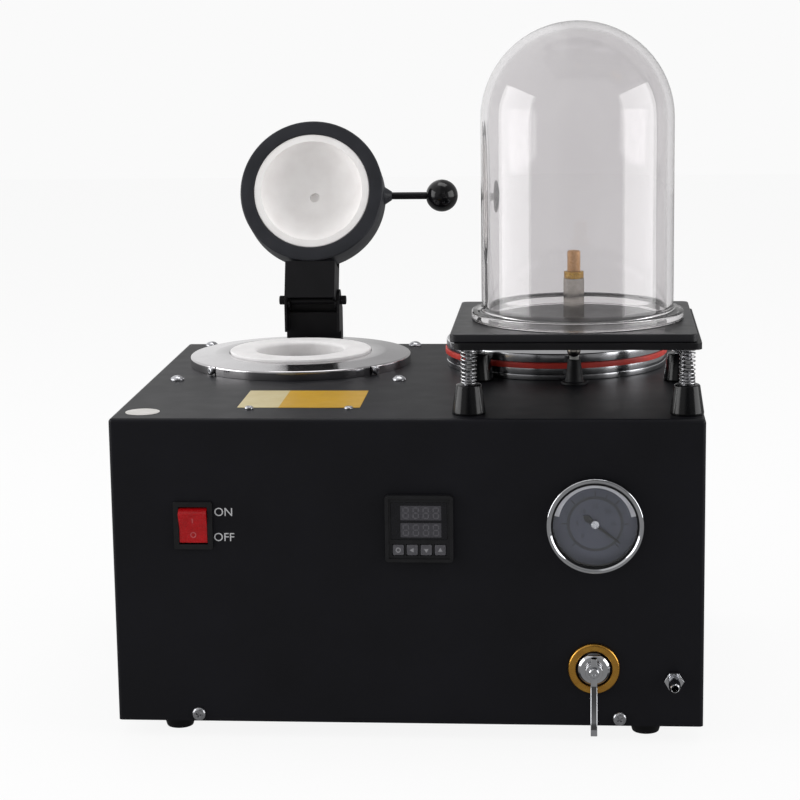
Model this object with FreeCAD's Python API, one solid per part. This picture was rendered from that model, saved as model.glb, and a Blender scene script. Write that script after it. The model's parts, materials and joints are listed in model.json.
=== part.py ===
"""Bench-top melting and vacuum casting machine for jewellery.

Millimetres, +Z up, +X to the right as the operator sees it, +Y to the back.
Origin: on the surface that the feet stand on, under the middle of the whole machine with
its lid open, so the front fittings and the tilted lid reach equally far from it.
"""
import math
import os

import FreeCAD
import Part

V = FreeCAD.Vector
X_AXIS = V(1, 0, 0)
Y_AXIS = V(0, 1, 0)
Z_AXIS = V(0, 0, 1)

# ---- housing ---------------------------------------------------------------
HOUSING_W = 420.0
HOUSING_D = 332.0
HOUSING_H = 222.0
SHEET = 1.5                 # folded steel sheet of the cover, pan and back panel
BEND_R = 3.0                # outside radius of the cover's folds
SEAT_GAP = 0.2              # between sheets that slide into each other
PAN_RIM = 14.0              # upstand round the base pan
BACK_RIM = 12.0             # side flanges of the back panel

FOOT_H = 12.0
FOOT_TOP_D = 26.0
FOOT_BOTTOM_D = 19.0
FOOT_INSET_X = 40.0
FOOT_INSET_Y = 27.0
FOOT_BORE_D = 5.4
FOOT_POCKET_D = 12.0
FOOT_POCKET_DEPTH = 5.0

SCREW_D = 5.0               # M5 pan heads of the cover, the back panel and the feet
SCREW_HEAD_D = 10.0
SCREW_HEAD_H = 3.0
SCREW_LEN = 11.0
SCREW_CLEAR = 0.15          # radial, screw in its hole
PAN_BRIM = 0.55             # share of the head's height that is straight
PAN_FLAT = 0.7              # share of its width that is flat
SOCKET_D = 3.2              # drive recess in each head
SOCKET_DEPTH = 1.4
COVER_SCREW_INSET = 59.0    # from each side
COVER_SCREW_X = HOUSING_W / 2 - COVER_SCREW_INSET
COVER_SCREW_Z = 5.5         # above the housing's lower edge
SIDE_SCREW_Z = (40.0, 180.0)
SIDE_SCREW_INSET = 8.0      # from the back of the housing

VENT_COUNT = 9
VENT_PITCH = 9.0
VENT_LEN = 46.0
VENT_W = 3.2
SIDE_VENT_BACK = 166.0      # middle of each side's row
SIDE_VENT_Z = 70.0          # centre of the slots, above the housing's lower edge
BACK_VENT_X = 60.0          # centre of each group on the back panel
BACK_VENT_Z = 60.0

# ---- melting furnace -------------------------------------------------------
FURNACE_ACROSS = 0.24285714    # axis left of the middle, as a share of the width
FURNACE_X = -HOUSING_W * FURNACE_ACROSS
FURNACE_FROM_REAR = 92.0
FURNACE_BACK = HOUSING_D - FURNACE_FROM_REAR    # from the front face, as every size named BACK
TRIM_R = 88.5
TRIM_H = 9.2
TRIM_T = 1.2
TRIM_BEAD_R = 1.6
TRIM_DISH = 1.3             # how far the flat lies below the rolled rim
TRIM_SLOT_W = 5.0
TRIM_SLOT_H = 4.0
COLLAR_R = 56.5
COLLAR_WELL_R = 35.0
COLLAR_PROUD = 2.0          # above the trim's rim
COLLAR_LIP = 3.0
CAN_R = 80.0
CAN_DEPTH = 178.0
CAN_PLATE = 178.0           # square mounting plate of the can
LINING_GAP = 0.3
LINING_FLOOR = 36.0
COIL_R = 44.5               # centre line of the element
COIL_WIRE_R = 1.6
COIL_PITCH = 15.0
COIL_TURNS = 7
COIL_CHANNEL = 3.0          # wider than the wire, on each side
COIL_STEPS = 12             # straight stretches in each turn of a coil or spring
WIRE_SIDES = 6              # sides of its wire
MUFFLE_R = 41.0
MUFFLE_BORE_R = 36.0
MUFFLE_H = 128.0
CRUCIBLE_R = 32.0
CRUCIBLE_FOOT_R = 26.0
CRUCIBLE_WALL = 6.0
CRUCIBLE_H = 118.0
CRUCIBLE_SEAT_GAP = 0.3
BOLT_PITCH_X = 172.0
BOLT_PITCH_Y = 166.0
BOLT_D = 6.0
BOLT_HEAD_D = 10.5
BOLT_HEAD_H = 3.6
BOLT_LEN = 12.0
PROBE_D = 6.0
PROBE_LEN = 62.0
PROBE_DEPTH = 93.0          # below the top panel
PROBE_HEAD_D = 16.0
PROBE_HEAD_L = 20.0

SMALL_SCREW_D = 3.0         # M3 pan heads on the top panel and round the trim
SMALL_HEAD_D = 6.4
SMALL_HEAD_H = 2.2
SMALL_LEN = 6.0
LABEL_X = -78.5
LABEL_SCREW_PITCH = 72.0
LABEL_SCREW_BACK = 37.0

# ---- furnace lid and its hinge ---------------------------------------------
LID_OPEN = 110.0            # degrees from closed to the stop
LID_R = 60.0
LID_T = 34.0
LID_WALL = 1.6
LID_EDGE_R = 5.0
LID_GAP = 0.3               # between the lid's face and the collar when closed
LID_LINING_R = 48.5
LID_CUP_R = 42.5
LID_CUP_DEPTH = 24.0
LID_CUP_FLOOR_R = 17.0
LID_SIGHT_D = 8.0
LID_LINING_RECESS = 0.8
PIN_REACH = 88.0            # from the pin to the furnace's axis
PIN_UP = 38.0               # above the top panel
PIN_D = 6.0
PIN_HEAD_D = 7.6
PIN_HEAD_L = 5.0
PIN_CLEAR = 0.06
ARM_W = 41.6
ARM_T = 2.0
ARM_FLANGE_TAIL = 8.0       # round end of each flange, beyond the pin's centre
ARM_OVERLAP = 46.0          # of the arm's web on the lid's back
BRACKET_T = 2.0
BRACKET_CLEAR = 0.35        # on each side of the arm
BRACKET_EAR_R = 9.0
BRACKET_DROP = 66.0         # of the web down the back panel
BRACKET_OVER_TRIM = 3.0     # ears clear the trim's rim
BRACKET_REACH = 12.0        # of the ears behind the web
BRACKET_SLANT = 14.0        # height of their sloping foot
BRACKET_SCREW_X = 24.0
BRACKET_SCREW_Z = (14.0, 50.0)
HANDLE_REACH = 108.0        # ball's centre from the lid's axis
HANDLE_BACK = 20.0          # behind the lid's face
HANDLE_D = 6.0
HANDLE_BOSS_D = 15.0
HANDLE_BOSS_L = 6.0
HANDLE_SCREWED = 9.0        # length of rod inside the ball
BALL_D = 27.0

# ---- casting chamber -------------------------------------------------------
CHAMBER_ACROSS = 0.24523810    # axis right of the middle, as a share of the width
CHAMBER_DEEP = 0.72289157      # axis behind the front, as a share of the depth
CHAMBER_X = HOUSING_W * CHAMBER_ACROSS
CHAMBER_BACK = HOUSING_D * CHAMBER_DEEP
CHAMBER_R = 87.0
SEAT_RING_H = 4.5
FLANGE_H = 5.5
GASKET_H = 3.0
GASKET_PROUD = 1.0
ADAPTER_H = 7.5
POT_R = 60.0
POT_WALL = 2.5
POT_DEPTH = 128.0
POT_FLOOR = 5.0
POT_CLEAR = 0.4
CHAMBER_BORE_R = 52.0
ADAPTER_BORE_R = 47.0
FLASK_SEAT_R = 56.0
FLASK_SEAT_DEPTH = 2.0
ADAPTER_GAP = 0.3           # lift-off ring above its gasket
STUB_R = 6.0
STUB_REACH = 12.0
POT_STUB_Z = 12.0           # valve pipe, above the pot's underside

# ---- investing table on springs --------------------------------------------
TABLE_FROM_SIDE = 89.0
TABLE_TO_CHAMBER = 150.0       # between the middles, front to back
TABLE_X = HOUSING_W / 2 - TABLE_FROM_SIDE
TABLE_BACK = CHAMBER_BACK - TABLE_TO_CHAMBER
PLATE_SIZE = 172.0
PLATE_T = 4.5
PLATE_CORNER_R = 6.0
LEG_PITCH_X = 153.0
LEG_RING_GAP = 1.7286          # between the rear legs and the chamber's rings
LEG_H = 21.0
LEG_BASE_D = 24.0
LEG_TOP_D = 18.0
SPRING_D = 11.5             # over the wire
SPRING_WIRE_D = 1.7
SPRING_TURNS = 6
SPRING_H = 27.0
STUD_D = 5.0
STUD_UP = 9.0               # of each spigot inside its spring
SPIGOT_COLLAR_D = 7.2
SPIGOT_COLLAR_H = 3.0
PAD_W = 172.0
PAD_D = 164.0
PAD_T = 6.0
PAD_CORNER_R = 5.0
PAD_SHIFT_X = -3.0
BORE_CLEAR = 0.3

COLUMN_AF = 13.0            # across the flats of the nickel column
COLUMN_H = 28.6
COLUMN_BORE_R = 2.5
COLUMN_STEM_D = 10.0
COLUMN_ELBOW_DROP = 14.0    # hose tail's axis below the plate
TAIL_D = 6.0
TAIL_L = 15.0
NUT_AF = 12.4
NUT_H = 5.2
MUFFLER_D = 9.4
MUFFLER_H = 15.0
MUFFLER_BORE_R = 2.5

BOOT_TO_CHAMBER = 99.0         # before the chamber's axis
BOOT_BACK = CHAMBER_BACK - BOOT_TO_CHAMBER
BOOT_BASE_D = 14.0
BOOT_TOP_D = 9.4
BOOT_H = 19.0
BOOT_FLANGE_D = 20.0
BOOT_FLANGE_H = 2.0
BOOT_BELOW = 6.0
HOSE_D = 7.0
HOSE_BORE_D = 3.4
HOSE_BEND_R = 15.0
HOSE_CLEAR = 0.3

# ---- bell jar --------------------------------------------------------------
JAR_SHIFT_X = -0.5          # from the table's centre
JAR_D = 139.0
JAR_WALL = 5.0
JAR_H = 213.0
JAR_FLANGE_D = 154.0
JAR_FLANGE_H = 6.0
JAR_FILLET = 4.0
JAR_GAP = 0.3

# ---- vacuum gauge ----------------------------------------------------------
GAUGE_FROM_SIDE = 76.6
GAUGE_X = HOUSING_W / 2 - GAUGE_FROM_SIDE
GAUGE_Z = 147.4             # above the housing's lower edge
GAUGE_R = 34.0
GAUGE_BEZEL_PROUD = 9.0
GAUGE_LIP = 3.6
GAUGE_CASE_R = 30.6
GAUGE_CASE_DEPTH = 24.0
GAUGE_WALL = 1.2
GAUGE_STEM_AF = 14.0
GAUGE_STEM_L = 16.0
DIAL_T = 1.0
DIAL_BACK = 1.0             # dial's face behind the panel's front
LENS_T = 2.0
LENS_BACK = 1.6             # lens's face behind the bezel's front
NEEDLE_LEN = 23.0
NEEDLE_TAIL = 7.0
NEEDLE_W = 2.6
NEEDLE_T = 0.7
NEEDLE_HUB_R = 2.8
NEEDLE_HUB_T = 1.6
NEEDLE_UP = 1.2             # needle's back in front of the dial
NEEDLE_POST_R = 0.8
NEEDLE_REST = -38.0         # degrees from +X, seen from the front

# ---- temperature controller ------------------------------------------------
CONTROL_X = 10.0
CONTROL_Z = 144.0
CONTROL_SIZE = 48.0
CONTROL_PROUD = 5.0
CONTROL_CORNER_R = 2.5
CONTROL_BODY = 44.6
CONTROL_BODY_DEPTH = 78.0
CONTROL_DISH = 1.0          # display and key bar below the bezel's face
WINDOW_W = 40.0
WINDOW_H = 27.0
WINDOW_UP = 5.6             # window's centre above the controller's centre
KEY_COUNT = 4
KEY_W = 7.8
KEY_H = 7.6
KEY_PITCH = 9.9
KEY_DOWN = 15.2             # keys' centre below the controller's centre
KEY_PROUD = 1.4
KEY_T = 3.2
KEY_CLEAR = 0.35
KEY_TRAVEL = 0.8

# ---- rocker switch ---------------------------------------------------------
SWITCH_FROM_SIDE = 59.0
SWITCH_X = SWITCH_FROM_SIDE - HOUSING_W / 2
SWITCH_Z = 145.0
ROCKER_W = 20.0
ROCKER_FACE = 11.3          # length of each half of the rocker's face
ROCKER_TILT = 12.0          # degrees each way from the middle
ROCKER_VALLEY = 5.0         # face's valley in front of the pivot
ROCKER_BACK = 3.2           # rocker's back behind the pivot
ROCKER_CLEAR = 0.3
ROCKER_PIVOT_BACK = 3.2     # pivot behind the panel's front
ROCKER_PIN_R = 1.2
ROCKER_PIN_CLEAR = 0.06
SWITCH_BEZEL_PROUD = 2.2
SWITCH_BEZEL_LIP = 2.4
SWITCH_WALL = 1.2
SWITCH_DEPTH = 20.0
SWITCH_TABS = 3
SWITCH_TAB_W = 6.3
SWITCH_TAB_T = 0.8
SWITCH_TAB_L = 9.0

# ---- valve and pump port ---------------------------------------------------
VALVE_FROM_SIDE = 77.3
VALVE_X = HOUSING_W / 2 - VALVE_FROM_SIDE
VALVE_Z = 42.5
VALVE_RING_D = 36.6
VALVE_RING_BORE_D = 25.6
VALVE_RING_T = 3.4
VALVE_BONNET_D = 22.6
VALVE_BONNET_PROUD = 5.6
VALVE_NECK_D = 11.5
VALVE_NECK_L = 3.6
VALVE_STEM_D = 5.0
VALVE_BODY_D = 30.0
VALVE_BODY_L = 34.0
VALVE_PORT_D = 12.0
VALVE_PORT_REACH = 22.0
LEVER_T = 2.2
LEVER_EYE_D = 12.4
LEVER_NECK_W = 4.6
LEVER_LEN = 43.0
LEVER_DROP = 13.0           # where the flat of the eye ends
LEVER_KNEE = 33.0           # where the tip straightens
LEVER_OUT = 11.0            # how far the tip stands further out than the eye
LEVER_TAB_W = 4.4
LEVER_TAB_L = 3.6
LEVER_GAP = 0.3
LEVER_BORE_CLEAR = 0.05
LEVER_NUT_D = 7.4
LEVER_NUT_T = 2.6
LEVER_NUT_BEVEL = 0.8
LEVER_NUT_DIMPLE_R = 1.2
LEVER_NUT_DIMPLE = 1.0
PORT_FROM_SIDE = 21.0
PORT_X = HOUSING_W / 2 - PORT_FROM_SIDE
PORT_Z = 35.0
PORT_HEX_AF = 12.0
PORT_HEX_L = 7.0
PORT_BARB_D = 8.4
PORT_ROOT_D = 7.0
PORT_BARBS = 3
PORT_BARB_PITCH = 5.0
PORT_TIP = 1.2              # chamfered end in front of the last barb
PORT_BORE_R = 2.5
PORT_TAIL_L = 14.0

# ---- inside and back of the housing ----------------------------------------
PIPE_D = 8.0
PIPE_BORE_D = 5.0
PIPE_BEND_R = 16.0
POT_PIPE_RUN = 46.0         # behind the valve before it meets the pot's stub
PORT_PIPE_RUN = 34.0        # behind the valve to the port's tail
PORT_PIPE_UP = 4.0
HOSE_PIPE_SIDE = 24.0       # left of the valve
HOSE_PIPE_UP = 30.0
HOSE_PIPE_DROP = 60.0       # straight run under the boot
INLET_FROM_SIDE = 60.0
INLET_X = HOUSING_W / 2 - INLET_FROM_SIDE
INLET_Z = 44.0
INLET_W = 31.0
INLET_H = 26.0
INLET_FLANGE_T = 2.6
INLET_DEPTH = 20.0
INLET_CAVITY_W = 24.6
INLET_CAVITY_H = 17.0
INLET_CAVITY_DEPTH = 16.0
INLET_CORNER = 5.0
INLET_PIN_W = 2.0
INLET_PIN_H = 4.0
INLET_PIN_L = 13.0
INLET_PIN_PITCH = 14.0
INLET_PIN_DROP = 2.4
INLET_EARTH_UP = 3.2
RELAY_X = 20.0
RELAY_BACK = 106.0
RELAY_W = 46.0
RELAY_L = 58.0
RELAY_H = 24.0
SINK_W = 52.0
SINK_L = 76.0
SINK_BASE = 5.0
SINK_H = 26.0
SINK_FINS = 8
SINK_FIN_T = 1.6

# ---- heights and planes that the values above give --------------------------
BASE_Z = FOOT_H
TOP_Z = FOOT_H + HOUSING_H
UNDER_TOP_Z = TOP_Z - SHEET
FRONT_REACH = PORT_HEX_L + PORT_BARBS * PORT_BARB_PITCH + PORT_TIP
LID_FACE_Z = TOP_Z + TRIM_H + COLLAR_PROUD + LID_GAP
PIN_Z = TOP_Z + PIN_UP
PIN_BACK = FURNACE_BACK + PIN_REACH
LID_SWING = (
    -(PIN_REACH + LID_R - LID_EDGE_R) * math.cos(math.radians(LID_OPEN))
    + (LID_FACE_Z + LID_T - LID_EDGE_R - PIN_Z) * math.sin(math.radians(LID_OPEN))
    + LID_EDGE_R
)                           # from the pin back to the open lid's rearmost point
FRONT_Y = (FRONT_REACH - PIN_BACK - LID_SWING) / 2
BACK_Y = FRONT_Y + HOUSING_D
MID_Y = FRONT_Y + HOUSING_D / 2
FURNACE_Y = FRONT_Y + FURNACE_BACK
PIN_Y = FRONT_Y + PIN_BACK
CHAMBER_Y = FRONT_Y + CHAMBER_BACK
TABLE_Y = FRONT_Y + TABLE_BACK
BOOT_Y = FRONT_Y + BOOT_BACK
INNER_FRONT_Y = FRONT_Y + SHEET
INNER_X = HOUSING_W / 2 - SHEET
PAN_FLOOR_Z = BASE_Z + SHEET
TRIM_TOP_Z = TOP_Z + TRIM_H
COLLAR_TOP_Z = TRIM_TOP_Z + COLLAR_PROUD
CAN_BOTTOM_Z = UNDER_TOP_Z - CAN_DEPTH
MUFFLE_BOTTOM_Z = CAN_BOTTOM_Z + SHEET + LINING_FLOOR
MUFFLE_TOP_Z = MUFFLE_BOTTOM_Z + MUFFLE_H
SEAT_TOP_Z = TOP_Z + SEAT_RING_H
FLANGE_TOP_Z = SEAT_TOP_Z + FLANGE_H
GASKET_TOP_Z = FLANGE_TOP_Z + GASKET_H
POT_BOTTOM_Z = TOP_Z - POT_DEPTH
LEG_SIDE = CHAMBER_X - TABLE_X + LEG_PITCH_X / 2     # left legs from the chamber's axis
LEG_REACH = CHAMBER_R + LEG_BASE_D / 2 + LEG_RING_GAP
LEG_REAR_BACK = CHAMBER_BACK - math.sqrt(LEG_REACH ** 2 - LEG_SIDE ** 2)
LEG_PITCH_Y = 2 * (LEG_REAR_BACK - TABLE_BACK)
LEG_TOP_Z = TOP_Z + LEG_H
PLATE_Z = LEG_TOP_Z + SPRING_H
PAD_Z = PLATE_Z + PLATE_T
PAD_TOP_Z = PAD_Z + PAD_T
PORT_AXIS_X = TABLE_X + PAD_SHIFT_X
BOOT_X = PORT_AXIS_X
TAIL_Z = PLATE_Z - COLUMN_ELBOW_DROP
VALVE_AXIS_Z = BASE_Z + VALVE_Z
GAUGE_AXIS_Z = BASE_Z + GAUGE_Z


# ---- small tools -----------------------------------------------------------
def block(x0, x1, y0, y1, z0, z1):
    """Rectangular block between two corners."""
    return Part.makeBox(x1 - x0, y1 - y0, z1 - z0, V(x0, y0, z0))


def rod(diameter, start, end):
    """Cylinder from one point to another."""
    along = end - start
    return Part.makeCylinder(diameter / 2, along.Length, start, along)


def tube(diameter, bore, start, end):
    """Hollow cylinder from one point to another."""
    return rod(diameter, start, end).cut(rod(bore, start, end))


def cone(d_start, d_end, start, end):
    """Tapered rod from one point to another."""
    along = end - start
    return Part.makeCone(d_start / 2, d_end / 2, along.Length, start, along)


def prism(points, along):
    """Closed polygon pushed along a vector."""
    ring = [V(*p) for p in points]
    return Part.Face(Part.makePolygon(ring + [ring[0]])).extrude(along)


def hexagon(flats, start, along):
    """Hexagonal bar, flats apart, from start; corners point along X."""
    radius = flats / math.sqrt(3)
    side = X_AXIS
    up = along.cross(X_AXIS).normalize()
    ring = []
    for i in range(6):
        angle = math.radians(60 * i)
        ring.append(start + side * (radius * math.cos(angle)) + up * (radius * math.sin(angle)))
    return Part.Face(Part.makePolygon(ring + [ring[0]])).extrude(along)


def turned(*steps):
    """Solid of revolution about Z from (radius, height) points; (mid, end) pairs are arcs."""
    here = V(steps[0][0], 0, steps[0][1])
    first = here
    edges = []
    for step in steps[1:]:
        if isinstance(step[0], tuple):
            middle = V(step[0][0], 0, step[0][1])
            end = V(step[1][0], 0, step[1][1])
            edges.append(Part.Arc(here, middle, end).toShape())
        else:
            end = V(step[0], 0, step[1])
            edges.append(Part.LineSegment(here, end).toShape())
        here = end
    if here.distanceToPoint(first) > 1e-6:
        edges.append(Part.LineSegment(here, first).toShape())
    return Part.Face(Part.Wire(edges)).revolve(V(0, 0, 0), Z_AXIS, 360)


def moved(shape, x, y, z):
    """The shape shifted by x, y, z."""
    copy = shape.copy()
    copy.translate(V(x, y, z))
    return copy


def spun(shape, centre, axis, degrees):
    """The shape turned about an axis through a point."""
    copy = shape.copy()
    copy.rotate(centre, axis, degrees)
    return copy


def facing_front(shape):
    """A shape turned about Z now has that axis pointing to the front, -Y."""
    return spun(shape, V(0, 0, 0), X_AXIS, 90)


def fused(parts):
    """Several shapes as one clean solid."""
    whole = parts[0]
    if len(parts) > 1:
        whole = whole.fuse(list(parts[1:]))
    return whole.removeSplitter()


def round_upright(shape, radius):
    """Fillets every straight edge that runs along Z."""
    upright = []
    for edge in shape.Edges:
        ends = [v.Point for v in edge.Vertexes]
        if len(ends) == 2 and abs((ends[1] - ends[0]).normalize().z) > 0.999:
            upright.append(edge)
    return shape.makeFillet(radius, upright)


def slot(length, width, depth):
    """Round-ended slot along X, cut through Y, centred at the origin."""
    half = (length - width) / 2
    body = block(-half, half, -depth / 2, depth / 2, -width / 2, width / 2)
    ends = [rod(width, V(x, -depth / 2, 0), V(x, depth / 2, 0)) for x in (-half, half)]
    return fused([body] + ends)


def crown(radius, z_edge, z_top):
    """Arc step of a turned piece, from its edge up to a level pole."""
    rise = z_top - z_edge
    sphere = (radius ** 2 + rise ** 2) / (2 * rise)
    half = math.asin(min(1.0, radius / sphere)) / 2
    return (sphere * math.sin(half), z_top - sphere * (1 - math.cos(half))), (0, z_top)


def pan_screw(diameter, head_d, head_h, length):
    """Pan-head screw: underside of the head at the origin, head up, shank down."""
    edge = head_d / 2
    brim = head_h * PAN_BRIM
    head = turned((0, 0), (edge, 0), (edge, brim), (edge * PAN_FLAT, head_h), (0, head_h))
    shank = rod(diameter, V(0, 0, -length), V(0, 0, 0))
    recess = rod(SOCKET_D * head_d / SCREW_HEAD_D, V(0, 0, head_h - SOCKET_DEPTH), V(0, 0, head_h))
    return fused([head, shank]).cut(recess)


def pointed(shape, at, direction):
    """A shape made upright at the origin, now at a point with its +Z along a direction."""
    copy = shape.copy()
    copy.Placement = FreeCAD.Placement(at, FreeCAD.Rotation(Z_AXIS, direction))
    return copy


def swept(points, radius, bend):
    """Round bar along straight runs joined by tangent arcs."""
    edges = []
    here = points[0]
    for before, corner, after in zip(points, points[1:], points[2:]):
        into = (corner - before).normalize()
        out = (after - corner).normalize()
        turn = into.getAngle(out)
        trim = bend * math.tan(turn / 2)
        start = corner - into * trim
        end = corner + out * trim
        inward = (out - into).normalize()
        middle = corner + inward * (bend / math.cos(turn / 2) - bend)
        edges.append(Part.LineSegment(here, start).toShape())
        edges.append(Part.Arc(start, middle, end).toShape())
        here = end
    edges.append(Part.LineSegment(here, points[-1]).toShape())
    path = Part.Wire(edges)
    first = (points[1] - points[0]).normalize()
    section = Part.Wire(Part.Circle(points[0], first, radius).toShape())
    return path.makePipeShell([section], True, False)


def pipe(points, diameter, bore, bend):
    """Hollow bar along straight runs joined by tangent arcs."""
    return swept(points, diameter / 2, bend).cut(swept(points, bore / 2, bend))


# ---- housing ---------------------------------------------------------------
def folded_block(half_w, y0, y1, z0, z1, radius):
    """Block with its front, top and side folds rounded, square at the back and the bottom."""
    solid = block(-half_w, half_w, y0, y1, z0, z1)
    folds = []
    for edge in solid.Edges:
        a, b = [v.Point for v in edge.Vertexes]
        mid = (a + b) * 0.5
        on_front = abs(mid.y - y0) < 0.01
        on_top = abs(mid.z - z1) < 0.01
        on_side = abs(abs(mid.x) - half_w) < 0.01
        if (on_front and on_top) or (on_side and (on_top or on_front)):
            folds.append(edge)
    return solid.makeFillet(radius, folds)


def cover_screw_places():
    """(point on the sheet's outer face, outward direction) of each housing screw."""
    places = []
    for x in (-COVER_SCREW_X, COVER_SCREW_X):
        places.append((V(x, FRONT_Y, BASE_Z + COVER_SCREW_Z), V(0, -1, 0)))
        places.append((V(x, BACK_Y, BASE_Z + COVER_SCREW_Z), V(0, 1, 0)))
    for side in (-1, 1):
        for height in SIDE_SCREW_Z:
            at = V(side * HOUSING_W / 2, BACK_Y - SIDE_SCREW_INSET, BASE_Z + height)
            places.append((at, V(side, 0, 0)))
    return places


def foot_places():
    """Centres of the feet, on the housing's lower face."""
    x = HOUSING_W / 2 - FOOT_INSET_X
    y = HOUSING_D / 2 - FOOT_INSET_Y
    return [V(sx * x, MID_Y + sy * y, BASE_Z) for sx in (-1, 1) for sy in (-1, 1)]


def bolt_places():
    """Centres of the four furnace bolts on the top panel."""
    x = BOLT_PITCH_X / 2
    y = BOLT_PITCH_Y / 2
    return [V(FURNACE_X + sx * x, FURNACE_Y + sy * y, TOP_Z) for sx in (-1, 1) for sy in (-1, 1)]


def label_screw_places():
    """Centres of the two small screws on the top panel."""
    half = LABEL_SCREW_PITCH / 2
    return [V(LABEL_X + s * half, FRONT_Y + LABEL_SCREW_BACK, TOP_Z) for s in (-1, 1)]


def bracket_screw_places():
    """Centres of the hinge bracket's screws on the back panel."""
    heights = [TOP_Z - drop for drop in BRACKET_SCREW_Z]
    offset = BRACKET_SCREW_X / 2
    return [V(FURNACE_X + s * offset, BACK_Y, z) for s in (-1, 1) for z in heights]


def hole(diameter, at, direction, depth=4 * SHEET):
    """Cutter for a clearance hole through a sheet, centred on the sheet's face."""
    half = direction * depth
    return rod(diameter + 2 * SCREW_CLEAR, at - half, at + half)


def vent_group(centre_y, centre_z, side):
    """Upright slots in a side wall, in a row along Y."""
    cutters = []
    for i in range(VENT_COUNT):
        offset = (i - (VENT_COUNT - 1) / 2) * VENT_PITCH
        upright = spun(slot(VENT_LEN, VENT_W, 6 * SHEET), V(0, 0, 0), Y_AXIS, 90)
        across = spun(upright, V(0, 0, 0), Z_AXIS, 90)
        cutters.append(moved(across, side * HOUSING_W / 2, centre_y + offset, centre_z))
    return cutters


def housing_cover():
    """Front, top and sides folded from one sheet, with every cut-out in it."""
    outer = folded_block(HOUSING_W / 2, FRONT_Y, BACK_Y, BASE_Z, TOP_Z, BEND_R)
    inner = folded_block(
        INNER_X, INNER_FRONT_Y, BACK_Y + SHEET, BASE_Z - SHEET, UNDER_TOP_Z, BEND_R - SHEET
    )
    cutters = [inner]
    for at, direction in cover_screw_places():
        cutters.append(hole(SCREW_D, at, direction))
    for at in bolt_places():
        cutters.append(hole(BOLT_D, at, Z_AXIS))
    for at in label_screw_places():
        cutters.append(hole(SMALL_SCREW_D, at, Z_AXIS))
    above = V(0, 0, 4 * SHEET)
    furnace = V(FURNACE_X, FURNACE_Y, TOP_Z)
    chamber = V(CHAMBER_X, CHAMBER_Y, TOP_Z)
    boot = V(BOOT_X, BOOT_Y, TOP_Z)
    cutters.append(rod(2 * (COLLAR_R + LINING_GAP), furnace - above, furnace + above))
    cutters.append(rod(2 * (POT_R + POT_CLEAR), chamber - above, chamber + above))
    cutters.append(rod(BOOT_BASE_D + 2 * SEAT_GAP, boot - above, boot + above))
    for at in leg_places():
        cutters.append(hole(STUD_D, at, Z_AXIS))
    through = V(0, 4 * SHEET, 0)
    gauge = V(GAUGE_X, FRONT_Y, GAUGE_AXIS_Z)
    valve = V(VALVE_X, FRONT_Y, VALVE_AXIS_Z)
    port = V(PORT_X, FRONT_Y, BASE_Z + PORT_Z)
    cutters.append(rod(2 * (GAUGE_CASE_R + SEAT_GAP), gauge - through, gauge + through))
    cutters.append(rod(VALVE_BONNET_D + 2 * SEAT_GAP, valve - through, valve + through))
    cutters.append(rod(PORT_ROOT_D + 2 * SEAT_GAP, port - through, port + through))
    cutters.append(panel_window(CONTROL_X, CONTROL_Z, CONTROL_BODY, CONTROL_BODY))
    cutters.append(panel_window(SWITCH_X, SWITCH_Z, switch_body_w(), switch_body_h()))
    for side in (-1, 1):
        cutters += vent_group(FRONT_Y + SIDE_VENT_BACK, BASE_Z + SIDE_VENT_Z, side)
    return outer.cut(cutters)


def panel_window(x, z, width, height):
    """Cutter for a rectangular cut-out in the front panel."""
    w = width / 2 + SEAT_GAP
    h = height / 2 + SEAT_GAP
    middle = BASE_Z + z
    return block(x - w, x + w, FRONT_Y - SHEET, INNER_FRONT_Y + SHEET, middle - h, middle + h)


def base_pan():
    """Tray that closes the housing from below and carries the feet."""
    half_w = INNER_X - SEAT_GAP
    y0 = INNER_FRONT_Y + SEAT_GAP
    y1 = BACK_Y - SHEET - SEAT_GAP
    tray = round_upright(block(-half_w, half_w, y0, y1, BASE_Z, BASE_Z + PAN_RIM), BEND_R)
    hollow = round_upright(block(
        -half_w + SHEET, half_w - SHEET, y0 + SHEET, y1 - SHEET, PAN_FLOOR_Z, BASE_Z + 2 * PAN_RIM
    ), BEND_R - SHEET)
    cutters = [hollow]
    for at, direction in cover_screw_places():
        if direction.x == 0:
            cutters.append(hole(SCREW_D, at, direction))
    for at in foot_places():
        cutters.append(hole(SCREW_D, at, Z_AXIS))
    return tray.cut(cutters)


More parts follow.
